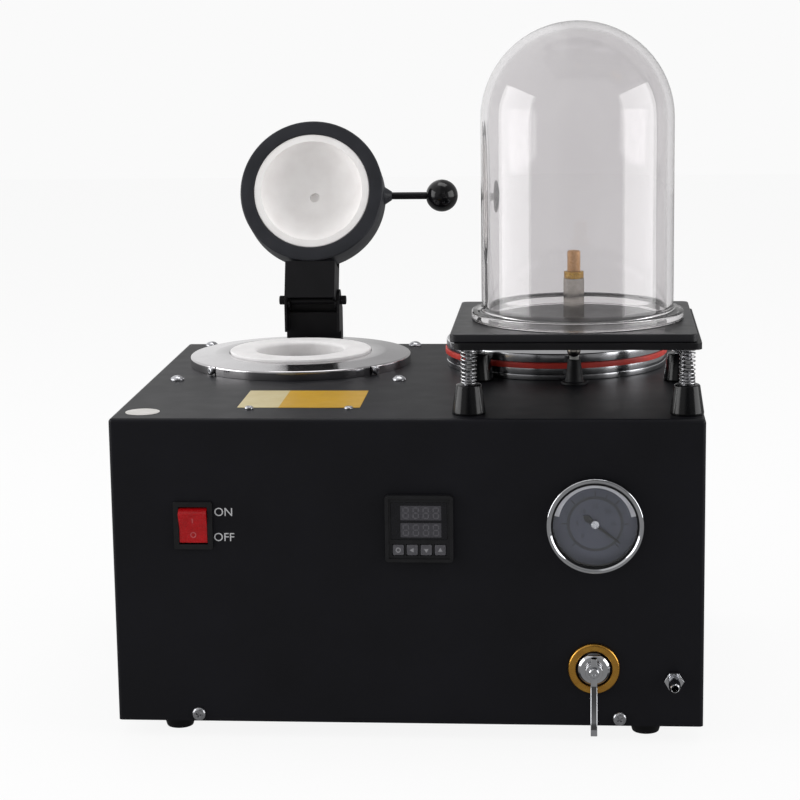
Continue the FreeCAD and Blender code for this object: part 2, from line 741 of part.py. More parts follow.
def back_panel():
    """Flat panel with side flanges, vents, the inlet's cut-out and the bracket's holes."""
    half_w = INNER_X - SEAT_GAP
    top = UNDER_TOP_Z - SEAT_GAP
    flange_z = BASE_Z + PAN_RIM + SEAT_GAP
    solid = block(-half_w, half_w, BACK_Y - BACK_RIM, BACK_Y, BASE_Z, top)
    shoulders = []
    for edge in solid.Edges:
        a, b = [v.Point for v in edge.Vertexes]
        if abs(a.y - b.y) > BACK_RIM / 2 and a.z > top - SHEET:
            shoulders.append(edge)
    panel = solid.makeFillet(BEND_R, shoulders)
    open_w = half_w - SHEET
    front = BACK_Y - 2 * BACK_RIM
    inside = BACK_Y - SHEET
    cutters = [block(-open_w, open_w, front, inside, flange_z, top + SHEET)]
    cutters.append(block(-HOUSING_W, HOUSING_W, front, inside, BASE_Z - SHEET, flange_z))
    for at, direction in cover_screw_places():
        cutters.append(hole(SCREW_D, at, direction))
    for at in bracket_screw_places():
        cutters.append(hole(SCREW_D, at, Y_AXIS))
    for x in (-BACK_VENT_X, BACK_VENT_X):
        for i in range(VENT_COUNT):
            z = BASE_Z + BACK_VENT_Z + (i - (VENT_COUNT - 1) / 2) * VENT_PITCH
            cutters.append(moved(slot(VENT_LEN, VENT_W, 6 * SHEET), x, BACK_Y, z))
    w = INLET_CAVITY_W / 2 + 1.5 + SEAT_GAP
    h = INLET_CAVITY_H / 2 + 1.5 + SEAT_GAP
    z = BASE_Z + INLET_Z
    cutters.append(block(INLET_X - w, INLET_X + w, BACK_Y - 2 * SHEET, BACK_Y + SHEET, z - h, z + h))
    return panel.cut(cutters)


def rubber_feet():
    """Four tapered feet, each with a pocket that hides its screw."""
    feet = []
    for at in foot_places():
        foot = cone(FOOT_BOTTOM_D, FOOT_TOP_D, V(at.x, at.y, 0), at)
        pocket = rod(FOOT_POCKET_D, V(at.x, at.y, 0), V(at.x, at.y, FOOT_POCKET_DEPTH))
        bore = rod(FOOT_BORE_D, V(at.x, at.y, 0), at)
        feet.append(foot.cut([pocket, bore]))
    return feet


def housing_screws():
    """The same pan-head screw in the cover, the back panel, the bracket and the feet."""
    screw = pan_screw(SCREW_D, SCREW_HEAD_D, SCREW_HEAD_H, SCREW_LEN)
    screws = [pointed(screw, at, direction) for at, direction in cover_screw_places()]
    for at in foot_places():
        screws.append(pointed(screw, V(at.x, at.y, FOOT_POCKET_DEPTH), V(0, 0, -1)))
    for at in bracket_screw_places():
        screws.append(pointed(screw, V(at.x, at.y + BRACKET_T, at.z), Y_AXIS))
    return screws


# ---- melting furnace -------------------------------------------------------
def furnace_trim():
    """Spun stainless ring: upright skirt, rolled rim and a flat that dips to the collar."""
    r = TRIM_R
    b = TRIM_BEAD_R
    t = TRIM_T
    flat = TRIM_H - TRIM_DISH
    inner = COLLAR_R + LINING_GAP + SEAT_GAP
    rim = r - b
    shell = turned(
        (r, 0), (r, TRIM_H - b), ((rim, TRIM_H), (r - 2 * b, TRIM_H - b)),
        (r - 2 * b - 1.2, flat), (inner + b, flat - 0.4), (inner, flat - 0.4 - b),
        (inner, flat - 3 * b), (inner + t, flat - 3 * b), (inner + t, flat - b - t),
        (inner + b + t, flat - t - 0.4), (r - 2 * b - 1.2, flat - t), (r - 2 * b, flat - 2 * t),
        (r - t, flat - 2 * t), (r - t, 0),
    )
    shell = moved(shell, FURNACE_X, FURNACE_Y, TOP_Z)
    cutters = [hole(SMALL_SCREW_D, at, out) for at, out in trim_screw_places()]
    for at, out in trim_screw_places()[:2]:
        side = out.cross(Z_AXIS)
        slot_at = at + side * (SMALL_HEAD_D + TRIM_SLOT_W) * (1 if at.x < FURNACE_X else -1)
        notch = block(-TRIM_SLOT_W / 2, TRIM_SLOT_W / 2, -3 * t, 3 * t, -1, TRIM_SLOT_H)
        angle = math.degrees(math.atan2(out.y, out.x)) + 90
        notch = spun(notch, V(0, 0, 0), Z_AXIS, angle)
        cutters.append(moved(notch, slot_at.x, slot_at.y, TOP_Z))
    return shell.cut(cutters)


def trim_screw_places():
    """(point on the skirt, outward direction) of the four screws round the trim."""
    places = []
    for degrees in (225, 315, 135, 45):
        angle = math.radians(degrees)
        out = V(math.cos(angle), math.sin(angle), 0)
        centre = V(FURNACE_X, FURNACE_Y, TOP_Z + SMALL_HEAD_D / 2 + 0.4)
        places.append((centre + out * TRIM_R, out))
    return places


def small_screws():
    """M3 pan heads: two on the top panel, four in the trim's skirt."""
    screw = pan_screw(SMALL_SCREW_D, SMALL_HEAD_D, SMALL_HEAD_H, SMALL_LEN)
    screws = [pointed(screw, at, Z_AXIS) for at in label_screw_places()]
    screws += [pointed(screw, at, out) for at, out in trim_screw_places()]
    return screws


def furnace_collar():
    """White ceramic mouth of the well, standing a little above the trim."""
    bottom = MUFFLE_TOP_Z + LINING_GAP
    height = COLLAR_TOP_Z - bottom
    lip = COLLAR_LIP
    ring = turned(
        (COLLAR_WELL_R, 0), (COLLAR_R, 0), (COLLAR_R, height - lip),
        ((COLLAR_R - lip * 0.3, height - lip * 0.3), (COLLAR_R - lip, height)),
        (COLLAR_WELL_R + lip, height),
        ((COLLAR_WELL_R + lip * 0.3, height - lip * 0.3), (COLLAR_WELL_R, height - lip)),
    )
    return moved(ring, FURNACE_X, FURNACE_Y, bottom)


def furnace_can():
    """Steel can that hangs under the top panel from a square plate."""
    half = CAN_PLATE / 2
    plate = block(
        FURNACE_X - half, FURNACE_X + half, FURNACE_Y - half, FURNACE_Y + half,
        UNDER_TOP_Z - SHEET, UNDER_TOP_Z,
    )
    low = V(FURNACE_X, FURNACE_Y, CAN_BOTTOM_Z)
    top = V(FURNACE_X, FURNACE_Y, UNDER_TOP_Z)
    lift = V(0, 0, SHEET)
    solid = fused([plate, rod(2 * CAN_R, low, top)])
    cutters = [rod(2 * (CAN_R - SHEET), low + lift, top - lift)]
    cutters.append(rod(2 * (COLLAR_R + LINING_GAP), top - lift * 2, top + lift))
    cutters += [hole(BOLT_D, at, Z_AXIS) for at in bolt_places()]
    probe_in, probe_out = probe_line()
    cutters.append(rod(PROBE_D + 2 * LINING_GAP, probe_in, probe_out))
    return solid.cut(cutters)


def probe_line():
    """Thermocouple's tip and outer end, on a line from the furnace's axis to the front."""
    z = TOP_Z - PROBE_DEPTH
    tip = V(FURNACE_X, FURNACE_Y - MUFFLE_BORE_R - 1, z)
    return tip, tip - V(0, PROBE_LEN, 0)


def furnace_lining():
    """Fibre lining: floor, and a wall with a channel for the element."""
    r_out = CAN_R - SHEET - LINING_GAP
    r_coil = COIL_R + COIL_WIRE_R + COIL_CHANNEL
    z_floor = LINING_FLOOR
    z_top = MUFFLE_TOP_Z - (CAN_BOTTOM_Z + SHEET)
    collar_bottom = z_top
    z_full = UNDER_TOP_Z - SHEET - LINING_GAP - (CAN_BOTTOM_Z + SHEET)
    wall = turned(
        (0, 0), (r_out, 0), (r_out, z_full), (COLLAR_R + LINING_GAP, z_full),
        (COLLAR_R + LINING_GAP, collar_bottom), (r_coil, collar_bottom), (r_coil, z_floor),
        (0, z_floor),
    )
    lining = moved(wall, FURNACE_X, FURNACE_Y, CAN_BOTTOM_Z + SHEET)
    probe_in, probe_out = probe_line()
    return lining.cut(rod(PROBE_D + 2 * LINING_GAP, probe_in, probe_out))


def muffle_tube():
    """Ceramic tube between the element and the crucible."""
    low = V(FURNACE_X, FURNACE_Y, MUFFLE_BOTTOM_Z)
    high = V(FURNACE_X, FURNACE_Y, MUFFLE_TOP_Z)
    wall = tube(2 * MUFFLE_R, 2 * MUFFLE_BORE_R, low, high)
    probe_in, probe_out = probe_line()
    return wall.cut(rod(PROBE_D + 2 * LINING_GAP, probe_in + V(0, 5, 0), probe_out))


def spring_coil(radius, wire_r, pitch, turns, bottom):
    """Helical wire about Z, of short straight stretches, that stands on a height."""
    rings = []
    for i in range(turns * COIL_STEPS + 1):
        angle = 2 * math.pi * i / COIL_STEPS
        out = V(math.cos(angle), math.sin(angle), 0)
        centre = out * radius + V(0, 0, pitch * i / COIL_STEPS + wire_r + bottom)
        ring = []
        for k in range(WIRE_SIDES):
            turn = 2 * math.pi * k / WIRE_SIDES
            ring.append(centre + out * (wire_r * math.cos(turn)) + Z_AXIS * (wire_r * math.sin(turn)))
        rings.append(Part.makePolygon(ring + [ring[0]]))
    return Part.makeLoft(rings, True, True)


def heating_coil():
    """Resistance wire wound round the muffle tube, clear of the thermocouple."""
    height = COIL_TURNS * COIL_PITCH + 2 * COIL_WIRE_R
    bottom = MUFFLE_BOTTOM_Z + (MUFFLE_H - height) / 2
    coil = spring_coil(COIL_R, COIL_WIRE_R, COIL_PITCH, COIL_TURNS, bottom)
    coil = spun(coil, V(0, 0, 0), Z_AXIS, -90)
    return moved(coil, FURNACE_X, FURNACE_Y, 0)


def thermocouple():
    """Sheathed probe with its terminal head outside the can."""
    tip, end = probe_line()
    head = V(0, PROBE_HEAD_L, 0)
    return fused([rod(PROBE_D, tip, end), rod(PROBE_HEAD_D, end, end - head)])


def crucible():
    """Graphite crucible: tapered cup with a pouring lip rounded at its rim."""
    top = CRUCIBLE_R
    foot = CRUCIBLE_FOOT_R
    wall = CRUCIBLE_WALL
    height = CRUCIBLE_H
    cup = turned(
        (0, 0), (foot - 3, 0), (foot, 3), (top, height - 2), (top - 2, height),
        (top - wall, height), (foot - wall, wall + 8),
        ((foot - wall - 4, wall + 2), (foot - wall - 10, wall)), (0, wall),
    )
    return moved(cup, FURNACE_X, FURNACE_Y, MUFFLE_BOTTOM_Z + CRUCIBLE_SEAT_GAP)


def furnace_bolts():
    """Four domed bolts that hold the can's plate, with their nuts."""
    edge = BOLT_HEAD_D / 2
    rise = BOLT_HEAD_H
    brim = rise / 4
    dome = turned((0, 0), (edge, 0), (edge, brim), crown(edge, brim, rise))
    bolt = fused([dome, rod(BOLT_D, V(0, 0, -BOLT_LEN), V(0, 0, 0))])
    nut_z = -2 * SHEET
    bolts = []
    for at in bolt_places():
        nut = hexagon(BOLT_D * 1.6, V(0, 0, nut_z - BOLT_D * 0.8), V(0, 0, BOLT_D * 0.8))
        bolts.append(moved(fused([bolt, nut]), at.x, at.y, at.z))
    return bolts


# ---- lid, arm and hinge ----------------------------------------------------
def opened(shape):
    """A lid piece drawn closed, now turned back to its stop."""
    return spun(shape, V(FURNACE_X, PIN_Y, PIN_Z), X_AXIS, -LID_OPEN)


def lid_shell():
    """Pressed black cap: rounded back edge, straight wall and a rim round the lining."""
    r = LID_R
    e = LID_EDGE_R
    w = LID_WALL
    rim = LID_LINING_R + LINING_GAP
    arc = e * (1 - math.sqrt(0.5))
    cap = turned(
        (rim, 0), (r - 1.5, 0), ((r - 0.45, 0.45), (r, 1.5)), (r, LID_T - e),
        ((r - arc, LID_T - arc), (r - e, LID_T)), (0, LID_T), (0, LID_T - w), (rim, LID_T - w),
    )
    cap = moved(cap, FURNACE_X, FURNACE_Y, LID_FACE_Z)
    boss = cone(
        HANDLE_BOSS_D, HANDLE_D + 1, V(FURNACE_X + r - 3, FURNACE_Y, LID_FACE_Z + HANDLE_BACK),
        V(FURNACE_X + r + HANDLE_BOSS_L, FURNACE_Y, LID_FACE_Z + HANDLE_BACK),
    )
    socket = rod(
        HANDLE_D, V(FURNACE_X + r - 3, FURNACE_Y, LID_FACE_Z + HANDLE_BACK),
        V(FURNACE_X + r + 2 * HANDLE_BOSS_L, FURNACE_Y, LID_FACE_Z + HANDLE_BACK),
    )
    return opened(fused([cap, boss]).cut(socket))


def lid_lining():
    """White fibre disc with a dished cup and a small sight hole."""
    r = LID_LINING_R
    low = LID_LINING_RECESS
    high = LID_T - LID_WALL - LINING_GAP
    cup = LID_CUP_R
    floor = low + LID_CUP_DEPTH
    slope = (cup + LID_CUP_FLOOR_R) / 2 + 5.5
    sight = LID_SIGHT_D / 2
    disc = turned(
        (cup, low), (r, low), (r, high), (0, high), (0, floor + 4), (sight, floor + 4),
        (sight, floor), (LID_CUP_FLOOR_R, floor - 0.6),
        ((slope, low + LID_CUP_DEPTH * 0.62), (cup, low)),
    )
    return opened(moved(disc, FURNACE_X, FURNACE_Y, LID_FACE_Z))


def lid_arm():
    """Channel from the lid's back to the hinge pin, with round-ended flanges."""
    half = ARM_W / 2
    web_z = LID_FACE_Z + LID_T
    tail_y = PIN_Y + ARM_FLANGE_TAIL
    web_end = FURNACE_Y + LID_R - ARM_OVERLAP
    web = block(FURNACE_X - half, FURNACE_X + half, web_end, PIN_Y, web_z, web_z + ARM_T)
    web = round_upright(web, ARM_T * 2)
    flange_start = FURNACE_Y + LID_R + SEAT_GAP
    flanges = []
    for side in (-1, 1):
        x0, x1 = sorted((FURNACE_X + side * half, FURNACE_X + side * (half - ARM_T)))
        wall = block(x0, x1, flange_start, PIN_Y, PIN_Z - ARM_FLANGE_TAIL, web_z + ARM_T)
        nose = rod(2 * ARM_FLANGE_TAIL, V(x0, PIN_Y, PIN_Z), V(x1, PIN_Y, PIN_Z))
        flanges += [wall, nose]
    square_web = block(
        FURNACE_X - half, FURNACE_X + half, flange_start, PIN_Y, web_z, web_z + ARM_T
    )
    channel = fused([web, square_web] + flanges)
    reach = V(2 * ARM_W, 0, 0)
    centre = V(FURNACE_X, PIN_Y, PIN_Z)
    bore = rod(PIN_D + 2 * PIN_CLEAR, centre - reach, centre + reach)
    corner = block(
        FURNACE_X - ARM_W, FURNACE_X + ARM_W, PIN_Y, tail_y, PIN_Z + ARM_FLANGE_TAIL, web_z + 9
    )
    return opened(channel.cut([bore, corner]))


def handle_rod():
    """Straight steel rod from the lid's boss into the ball."""
    z = LID_FACE_Z + HANDLE_BACK
    start = V(FURNACE_X + LID_R - 3, FURNACE_Y, z)
    end = V(FURNACE_X + HANDLE_REACH - BALL_D / 2 + HANDLE_SCREWED, FURNACE_Y, z)
    return opened(rod(HANDLE_D, start, end))


def handle_ball():
    """Phenolic ball knob, flattened where the rod enters."""
    centre = V(FURNACE_X + HANDLE_REACH, FURNACE_Y, LID_FACE_Z + HANDLE_BACK)
    ball = Part.makeSphere(BALL_D / 2, centre)
    face = centre - V(BALL_D / 2, 0, 0)
    flat = block(face.x - 1, face.x + 0.8, centre.y - 9, centre.y + 9, centre.z - 9, centre.z + 9)
    bore = rod(HANDLE_D, face, face + V(HANDLE_SCREWED, 0, 0))
    return opened(ball.cut([flat, bore]))


def bracket_half_width():
    """Half the bracket's outside width, from the arm that turns inside it."""
    return ARM_W / 2 + BRACKET_CLEAR + BRACKET_T


def hinge_bracket():
    """Channel screwed to the back panel, its ears reaching forward over the top panel."""
    half = bracket_half_width()
    web_top = PIN_Z - ARM_FLANGE_TAIL - 3
    web_low = TOP_Z - BRACKET_DROP
    ear_low = TRIM_TOP_Z + BRACKET_OVER_TRIM
    web = block(FURNACE_X - half, FURNACE_X + half, BACK_Y, BACK_Y + BRACKET_T, web_low, web_top)
    rear = BACK_Y + BRACKET_T + BRACKET_REACH
    parts = [web]
    for side in (-1, 1):
        x0, x1 = sorted((FURNACE_X + side * half, FURNACE_X + side * (half - BRACKET_T)))
        outline = [
            (x0, rear - BRACKET_REACH, web_low), (x0, rear, web_low + BRACKET_SLANT),
            (x0, rear, PIN_Z - BRACKET_EAR_R), (x0, PIN_Y + BRACKET_EAR_R, PIN_Z),
            (x0, PIN_Y - BRACKET_EAR_R, PIN_Z), (x0, PIN_Y - BRACKET_EAR_R, ear_low),
            (x0, BACK_Y, ear_low), (x0, BACK_Y, web_low),
        ]
        ear = prism(outline, V(x1 - x0, 0, 0))
        nose = rod(2 * BRACKET_EAR_R, V(x0, PIN_Y, PIN_Z), V(x1, PIN_Y, PIN_Z))
        parts += [ear, nose]
    bracket = fused(parts)
    cutters = [rod(PIN_D, V(FURNACE_X - 2 * half, PIN_Y, PIN_Z), V(FURNACE_X + 2 * half, PIN_Y, PIN_Z))]
    cutters += [hole(SCREW_D, at, Y_AXIS) for at in bracket_screw_places()]
    return bracket.cut(cutters)


def hinge_pin():
    """Pin through both ears with a head on each end."""
    half = bracket_half_width()
    left = V(FURNACE_X - half, PIN_Y, PIN_Z)
    right = V(FURNACE_X + half, PIN_Y, PIN_Z)
    head = V(PIN_HEAD_L, 0, 0)
    return fused([
        rod(PIN_D, left - head, right + head),
        rod(PIN_HEAD_D, left - head, left), rod(PIN_HEAD_D, right, right + head),
    ])


# ---- casting chamber -------------------------------------------------------
def chamber_ring(radius, bore, z0, z1, edge=0.6):
    """Turned ring about the chamber's axis with lightly broken edges."""
    height = z1 - z0
    ring = turned(
        (bore, 0), (radius - edge, 0), (radius, edge), (radius, height - edge),
        (radius - edge, height), (bore, height),
    )
    return moved(ring, CHAMBER_X, CHAMBER_Y, z0)


def flask_adapter():
    """Lift-off aluminium ring with a stepped seat for the flask."""
    z0 = GASKET_TOP_Z + ADAPTER_GAP
    h = ADAPTER_H
    edge = 1.0
    ring = turned(
        (ADAPTER_BORE_R, 0), (CHAMBER_R - edge, 0), (CHAMBER_R, edge), (CHAMBER_R, h - edge),
        (CHAMBER_R - edge, h), (FLASK_SEAT_R, h), (FLASK_SEAT_R, h - FLASK_SEAT_DEPTH),
        (ADAPTER_BORE_R, h - FLASK_SEAT_DEPTH),
    )
    return moved(ring, CHAMBER_X, CHAMBER_Y, z0)


def vacuum_pot():
    """Steel pot below the top panel, with stubs for the valve's and the gauge's pipes."""
    inner = POT_R - POT_WALL
    height = SEAT_TOP_Z - POT_BOTTOM_Z
    shell = turned(
        (0, 0), (POT_R, 0), (POT_R, height), (inner, height), (inner, POT_FLOOR), (0, POT_FLOOR)
    )
    shell = moved(shell, CHAMBER_X, CHAMBER_Y, POT_BOTTOM_Z)
    outs = []
    bores = []
    for x, z, start in pot_stubs():
        deep = V(x, CHAMBER_Y - 20, z)
        outs.append(rod(2 * STUB_R, deep, V(x, start, z)))
        bores.append(rod(PIPE_BORE_D, deep, V(x, start, z)))
    hollow = rod(
        2 * inner, V(CHAMBER_X, CHAMBER_Y, POT_BOTTOM_Z + POT_FLOOR),
        V(CHAMBER_X, CHAMBER_Y, SEAT_TOP_Z + 1),
    )
    return shell.fuse(outs).cut([hollow] + bores).removeSplitter()


def pot_stubs():
    """(x, z, front end y) of the two pipe stubs."""
    front = CHAMBER_Y - POT_R - STUB_REACH
    return [(CHAMBER_X, POT_BOTTOM_Z + POT_STUB_Z, front), (GAUGE_X, GAUGE_AXIS_Z, front)]


# ---- investing table -------------------------------------------------------
def leg_places():
    """Centres of the table's legs on the top panel."""
    x = LEG_PITCH_X / 2
    y = LEG_PITCH_Y / 2
    return [V(TABLE_X + sx * x, TABLE_Y + sy * y, TOP_Z) for sx in (-1, 1) for sy in (-1, 1)]


def table_legs():
    """Four rubber cones on the top panel."""
    legs = []
    for at in leg_places():
        leg = turned(
            (0, 0), (LEG_BASE_D / 2, 0), (LEG_BASE_D / 2, 1.5),
            (LEG_TOP_D / 2, LEG_H - 1), (LEG_TOP_D / 2 - 1, LEG_H), (0, LEG_H),
        )
        leg = moved(leg, at.x, at.y, at.z)
        legs.append(leg.cut(rod(STUD_D, at, at + V(0, 0, LEG_H))))
    return legs


def spigot(at, up):
    """Stud that guides one end of a spring: collar against the seat, shank inside the coil."""
    root = rod(SPIGOT_COLLAR_D, at, at + up * SPIGOT_COLLAR_H)
    return fused([root, rod(STUD_D, at, at + up * STUD_UP)])


def leg_studs():
    """Studs from under the top panel through each rubber cone into its spring."""
    studs = []
    for at in leg_places():
        low = at - V(0, 0, SHEET + STUD_D)
        shank = rod(STUD_D, low, at + V(0, 0, LEG_H))
        nut = hexagon(STUD_D * 1.6, at - V(0, 0, SHEET + STUD_D * 0.8), V(0, 0, STUD_D * 0.8))
        studs.append(fused([shank, nut, spigot(at + V(0, 0, LEG_H), Z_AXIS)]))
    return studs


def table_springs():
    """Four compression springs between the cones and the plate, ends ground to the seats."""
    radius = (SPRING_D - SPRING_WIRE_D) / 2
    wire = SPRING_WIRE_D / 2
    pitch = (SPRING_H - 2 * wire) / SPRING_TURNS
    coil = spring_coil(radius, wire, pitch, SPRING_TURNS, 0)
    return [moved(coil, at.x, at.y, LEG_TOP_Z) for at in leg_places()]


def rounded_plate(cx, cy, width, depth, z0, z1, radius):
    """Flat plate with round corners."""
    plate = block(cx - width / 2, cx + width / 2, cy - depth / 2, cy + depth / 2, z0, z1)
    return round_upright(plate, radius)


def table_plate():
    """Steel plate with four countersunk spigot seats and the port's hole."""
    plate = rounded_plate(
        TABLE_X, TABLE_Y, PLATE_SIZE, PLATE_SIZE, PLATE_Z, PAD_Z, PLATE_CORNER_R
    )
    cutters = []
    for at in leg_places():
        cutters.append(rod(STUD_D, V(at.x, at.y, PLATE_Z), V(at.x, at.y, PAD_Z)))
        sink = V(at.x, at.y, PAD_Z - STUD_D / 2)
        cutters.append(cone(STUD_D, 2 * STUD_D, sink, V(at.x, at.y, PAD_Z)))
    cutters.append(rod(COLUMN_STEM_D, port_axis(PLATE_Z), port_axis(PAD_Z)))
    return plate.cut(cutters)


def plate_spigots():
    """Countersunk screws through the plate that guide the springs' upper ends."""
    screws = []
    for at in leg_places():
        top = V(at.x, at.y, PAD_Z)
        under = V(at.x, at.y, PLATE_Z)
        head = cone(STUD_D, 2 * STUD_D, top - V(0, 0, STUD_D / 2), top)
        screws.append(fused([head, rod(STUD_D, under, top), spigot(under, V(0, 0, -1))]))
    return screws


def rubber_pad():
    """Loose rubber sheet that seals the jar, holed for the port."""
    pad = rounded_plate(PORT_AXIS_X, TABLE_Y, PAD_W, PAD_D, PAD_Z, PAD_TOP_Z, PAD_CORNER_R)
    stem = COLUMN_STEM_D + 2 * BORE_CLEAR
    return pad.cut(rod(stem, port_axis(PAD_Z), port_axis(PAD_TOP_Z)))


def port_axis(z):
    """Point on the table port's axis."""
    return V(PORT_AXIS_X, TABLE_Y, z)


def port_column():
    """Nickel hexagon column, its stem through pad and plate, and an elbow with a hose tail."""
    elbow_r = COLUMN_STEM_D / 2
    body = hexagon(COLUMN_AF, port_axis(PAD_TOP_Z), V(0, 0, COLUMN_H))
    stem = rod(COLUMN_STEM_D, port_axis(TAIL_Z), port_axis(PAD_TOP_Z))
    heel = Part.makeSphere(elbow_r, port_axis(TAIL_Z))
    tail_end = port_axis(TAIL_Z) + V(0, TAIL_L, 0)
    tail = rod(TAIL_D, port_axis(TAIL_Z), tail_end)
    whole = fused([body, stem, heel, tail])
    bore = 2 * COLUMN_BORE_R
    down = rod(bore, port_axis(TAIL_Z), port_axis(PAD_TOP_Z + COLUMN_H))
    along = rod(HOSE_BORE_D, port_axis(TAIL_Z), tail_end)
    return whole.cut([down, along])


def port_nut():
    """Brass hexagon of the muffler."""
    start = port_axis(PAD_TOP_Z + COLUMN_H)
    end = port_axis(PAD_TOP_Z + COLUMN_H + NUT_H)
    return hexagon(NUT_AF, start, V(0, 0, NUT_H)).cut(rod(2 * COLUMN_BORE_R, start, end))


def port_muffler():
    """Sintered bronze cap with a rounded end."""
    r = MUFFLER_D / 2
    b = MUFFLER_BORE_R
    cap = turned(
        (b, 0), (r, 0), (r, MUFFLER_H - 1.2), (r - 1.2, MUFFLER_H), (0, MUFFLER_H),
        (0, MUFFLER_H - 3), (b, MUFFLER_H - 3),
    )
    return moved(cap, PORT_AXIS_X, TABLE_Y, PAD_TOP_Z + COLUMN_H + NUT_H)


def hose_boot():
    """Tapered rubber grommet where the table's hose leaves the top panel."""
    bore = HOSE_D / 2 + HOSE_CLEAR
    base = BOOT_BASE_D / 2
    boot = turned(
        (bore, -SHEET - BOOT_BELOW), (base + 2, -SHEET - BOOT_BELOW), (base + 2, -SHEET),
        (base, -SHEET), (base, 0), (BOOT_FLANGE_D / 2, 0), (BOOT_FLANGE_D / 2, BOOT_FLANGE_H),
        (base, BOOT_FLANGE_H), (BOOT_TOP_D / 2, BOOT_H), (bore, BOOT_H),
    )
    return moved(boot, BOOT_X, BOOT_Y, TOP_Z)


def table_hose():
    """Silicone hose from the boot to the elbow under the plate."""
    start = V(BOOT_X, BOOT_Y, TOP_Z - SHEET - BOOT_BELOW)
    corner = V(BOOT_X, BOOT_Y, TAIL_Z)
    tail_end = port_axis(TAIL_Z) + V(0, TAIL_L, 0)
    return pipe([start, corner, tail_end], HOSE_D, HOSE_BORE_D, HOSE_BEND_R)


# ---- bell jar --------------------------------------------------------------
def bell_jar():
    """Clear acrylic jar: ground flange, straight wall and a full round dome."""
    r = JAR_D / 2
    inner = r - JAR_WALL
    spring_line = JAR_H - r
    f = JAR_FILLET
    bulge = math.sqrt(0.5)
    top = JAR_FLANGE_H
    flange = JAR_FLANGE_D / 2
    jar = turned(
        (inner, 0), (flange - 0.8, 0), (flange, 0.8), (flange, top - 1.5), (flange - 1.5, top),
        (r + f, top), ((r + f * (1 - bulge), top + f * (1 - bulge)), (r, top + f)),
        (r, spring_line), ((r * bulge, spring_line + r * bulge), (0, JAR_H)), (0, JAR_H - JAR_WALL),
        ((inner * bulge, spring_line + inner * bulge), (inner, spring_line)),
    )
    return moved(jar, TABLE_X + JAR_SHIFT_X, TABLE_Y, PAD_TOP_Z + JAR_GAP)


# ---- vacuum gauge ----------------------------------------------------------
def on_panel(shape, x, z):
    """A shape turned about its own Z now looks out of the front panel at x, z."""
    return moved(facing_front(shape), x, FRONT_Y, BASE_Z + z)


def gauge_case():
    """Drawn steel cup behind the panel with a square stem at its back."""
    r = GAUGE_CASE_R
    w = GAUGE_WALL
    cup = turned(
        (0, -GAUGE_CASE_DEPTH), (r - 2, -GAUGE_CASE_DEPTH), (r, -GAUGE_CASE_DEPTH + 2),
        (r, 0), (GAUGE_R - w, 0), (GAUGE_R - w, w), (r - w, w), (r - w, -GAUGE_CASE_DEPTH + w),
        (0, -GAUGE_CASE_DEPTH + w),
    )
    half = GAUGE_STEM_AF / 2
    back = -GAUGE_CASE_DEPTH
    stem = block(-half, half, -half, half, back - GAUGE_STEM_L, back)
    post = rod(2 * NEEDLE_POST_R, V(0, 0, back), V(0, 0, needle_front()))
    return on_panel(fused([cup, stem, post]), GAUGE_X, GAUGE_Z)


def needle_front():
    """Front of the needle's hub, measured forward from the panel's face."""
    return -DIAL_BACK + NEEDLE_UP + NEEDLE_HUB_T + 0.4


def gauge_bezel():
    """Chromed ring with a rounded front that holds the lens."""
    r = GAUGE_R
    p = GAUGE_BEZEL_PROUD
    lip = GAUGE_LIP
    seat = r - GAUGE_WALL + 0.2
    lens_back = p - LENS_BACK - LENS_T
    ring = turned(
        (seat, 0.2), (r, 0.2), (r, p - 3), ((r - 0.9, p - 0.9), (r - 3, p)),
        (r - lip, p - 0.2), (r - lip, lens_back + LENS_T), (seat, lens_back + LENS_T),
    )
    return on_panel(ring, GAUGE_X, GAUGE_Z)


def gauge_dial():
    """Printed disc, holed for the needle's post."""
    r = GAUGE_CASE_R - GAUGE_WALL - SEAT_GAP
    back = -DIAL_BACK - DIAL_T
    disc = tube(2 * r, 2 * NEEDLE_POST_R + 2 * SEAT_GAP, V(0, 0, back), V(0, 0, -DIAL_BACK))
    return on_panel(disc, GAUGE_X, GAUGE_Z)


def gauge_lens():
    """Glass disc under the bezel's lip."""
    r = GAUGE_R - GAUGE_WALL
    front = GAUGE_BEZEL_PROUD - LENS_BACK
    return on_panel(rod(2 * r, V(0, 0, front - LENS_T), V(0, 0, front)), GAUGE_X, GAUGE_Z)


def gauge_needle():
    """Tapered pointer with a counterweight tail and a hub on the post."""
    w = NEEDLE_W / 2
    z = -DIAL_BACK + NEEDLE_UP
    blade = prism(
        [(-NEEDLE_TAIL, -w, z), (-NEEDLE_TAIL, w, z), (0, w, z), (NEEDLE_LEN, 0.3, z),
         (NEEDLE_LEN, -0.3, z), (0, -w, z)], V(0, 0, NEEDLE_T),
    )
    hub = rod(2 * NEEDLE_HUB_R, V(0, 0, z), V(0, 0, z + NEEDLE_HUB_T))
    bore = rod(2 * NEEDLE_POST_R + 0.12, V(0, 0, z - 1), V(0, 0, z + 2 * NEEDLE_HUB_T))
    needle = spun(fused([blade, hub]).cut(bore), V(0, 0, 0), Z_AXIS, NEEDLE_REST)
    return on_panel(needle, GAUGE_X, GAUGE_Z)


# ---- temperature controller ------------------------------------------------
def key_centres():
    """(x, y) of each key in the controller's own face plane."""
    first = -(KEY_COUNT - 1) / 2 * KEY_PITCH
    return [(first + i * KEY_PITCH, -KEY_DOWN) for i in range(KEY_COUNT)]


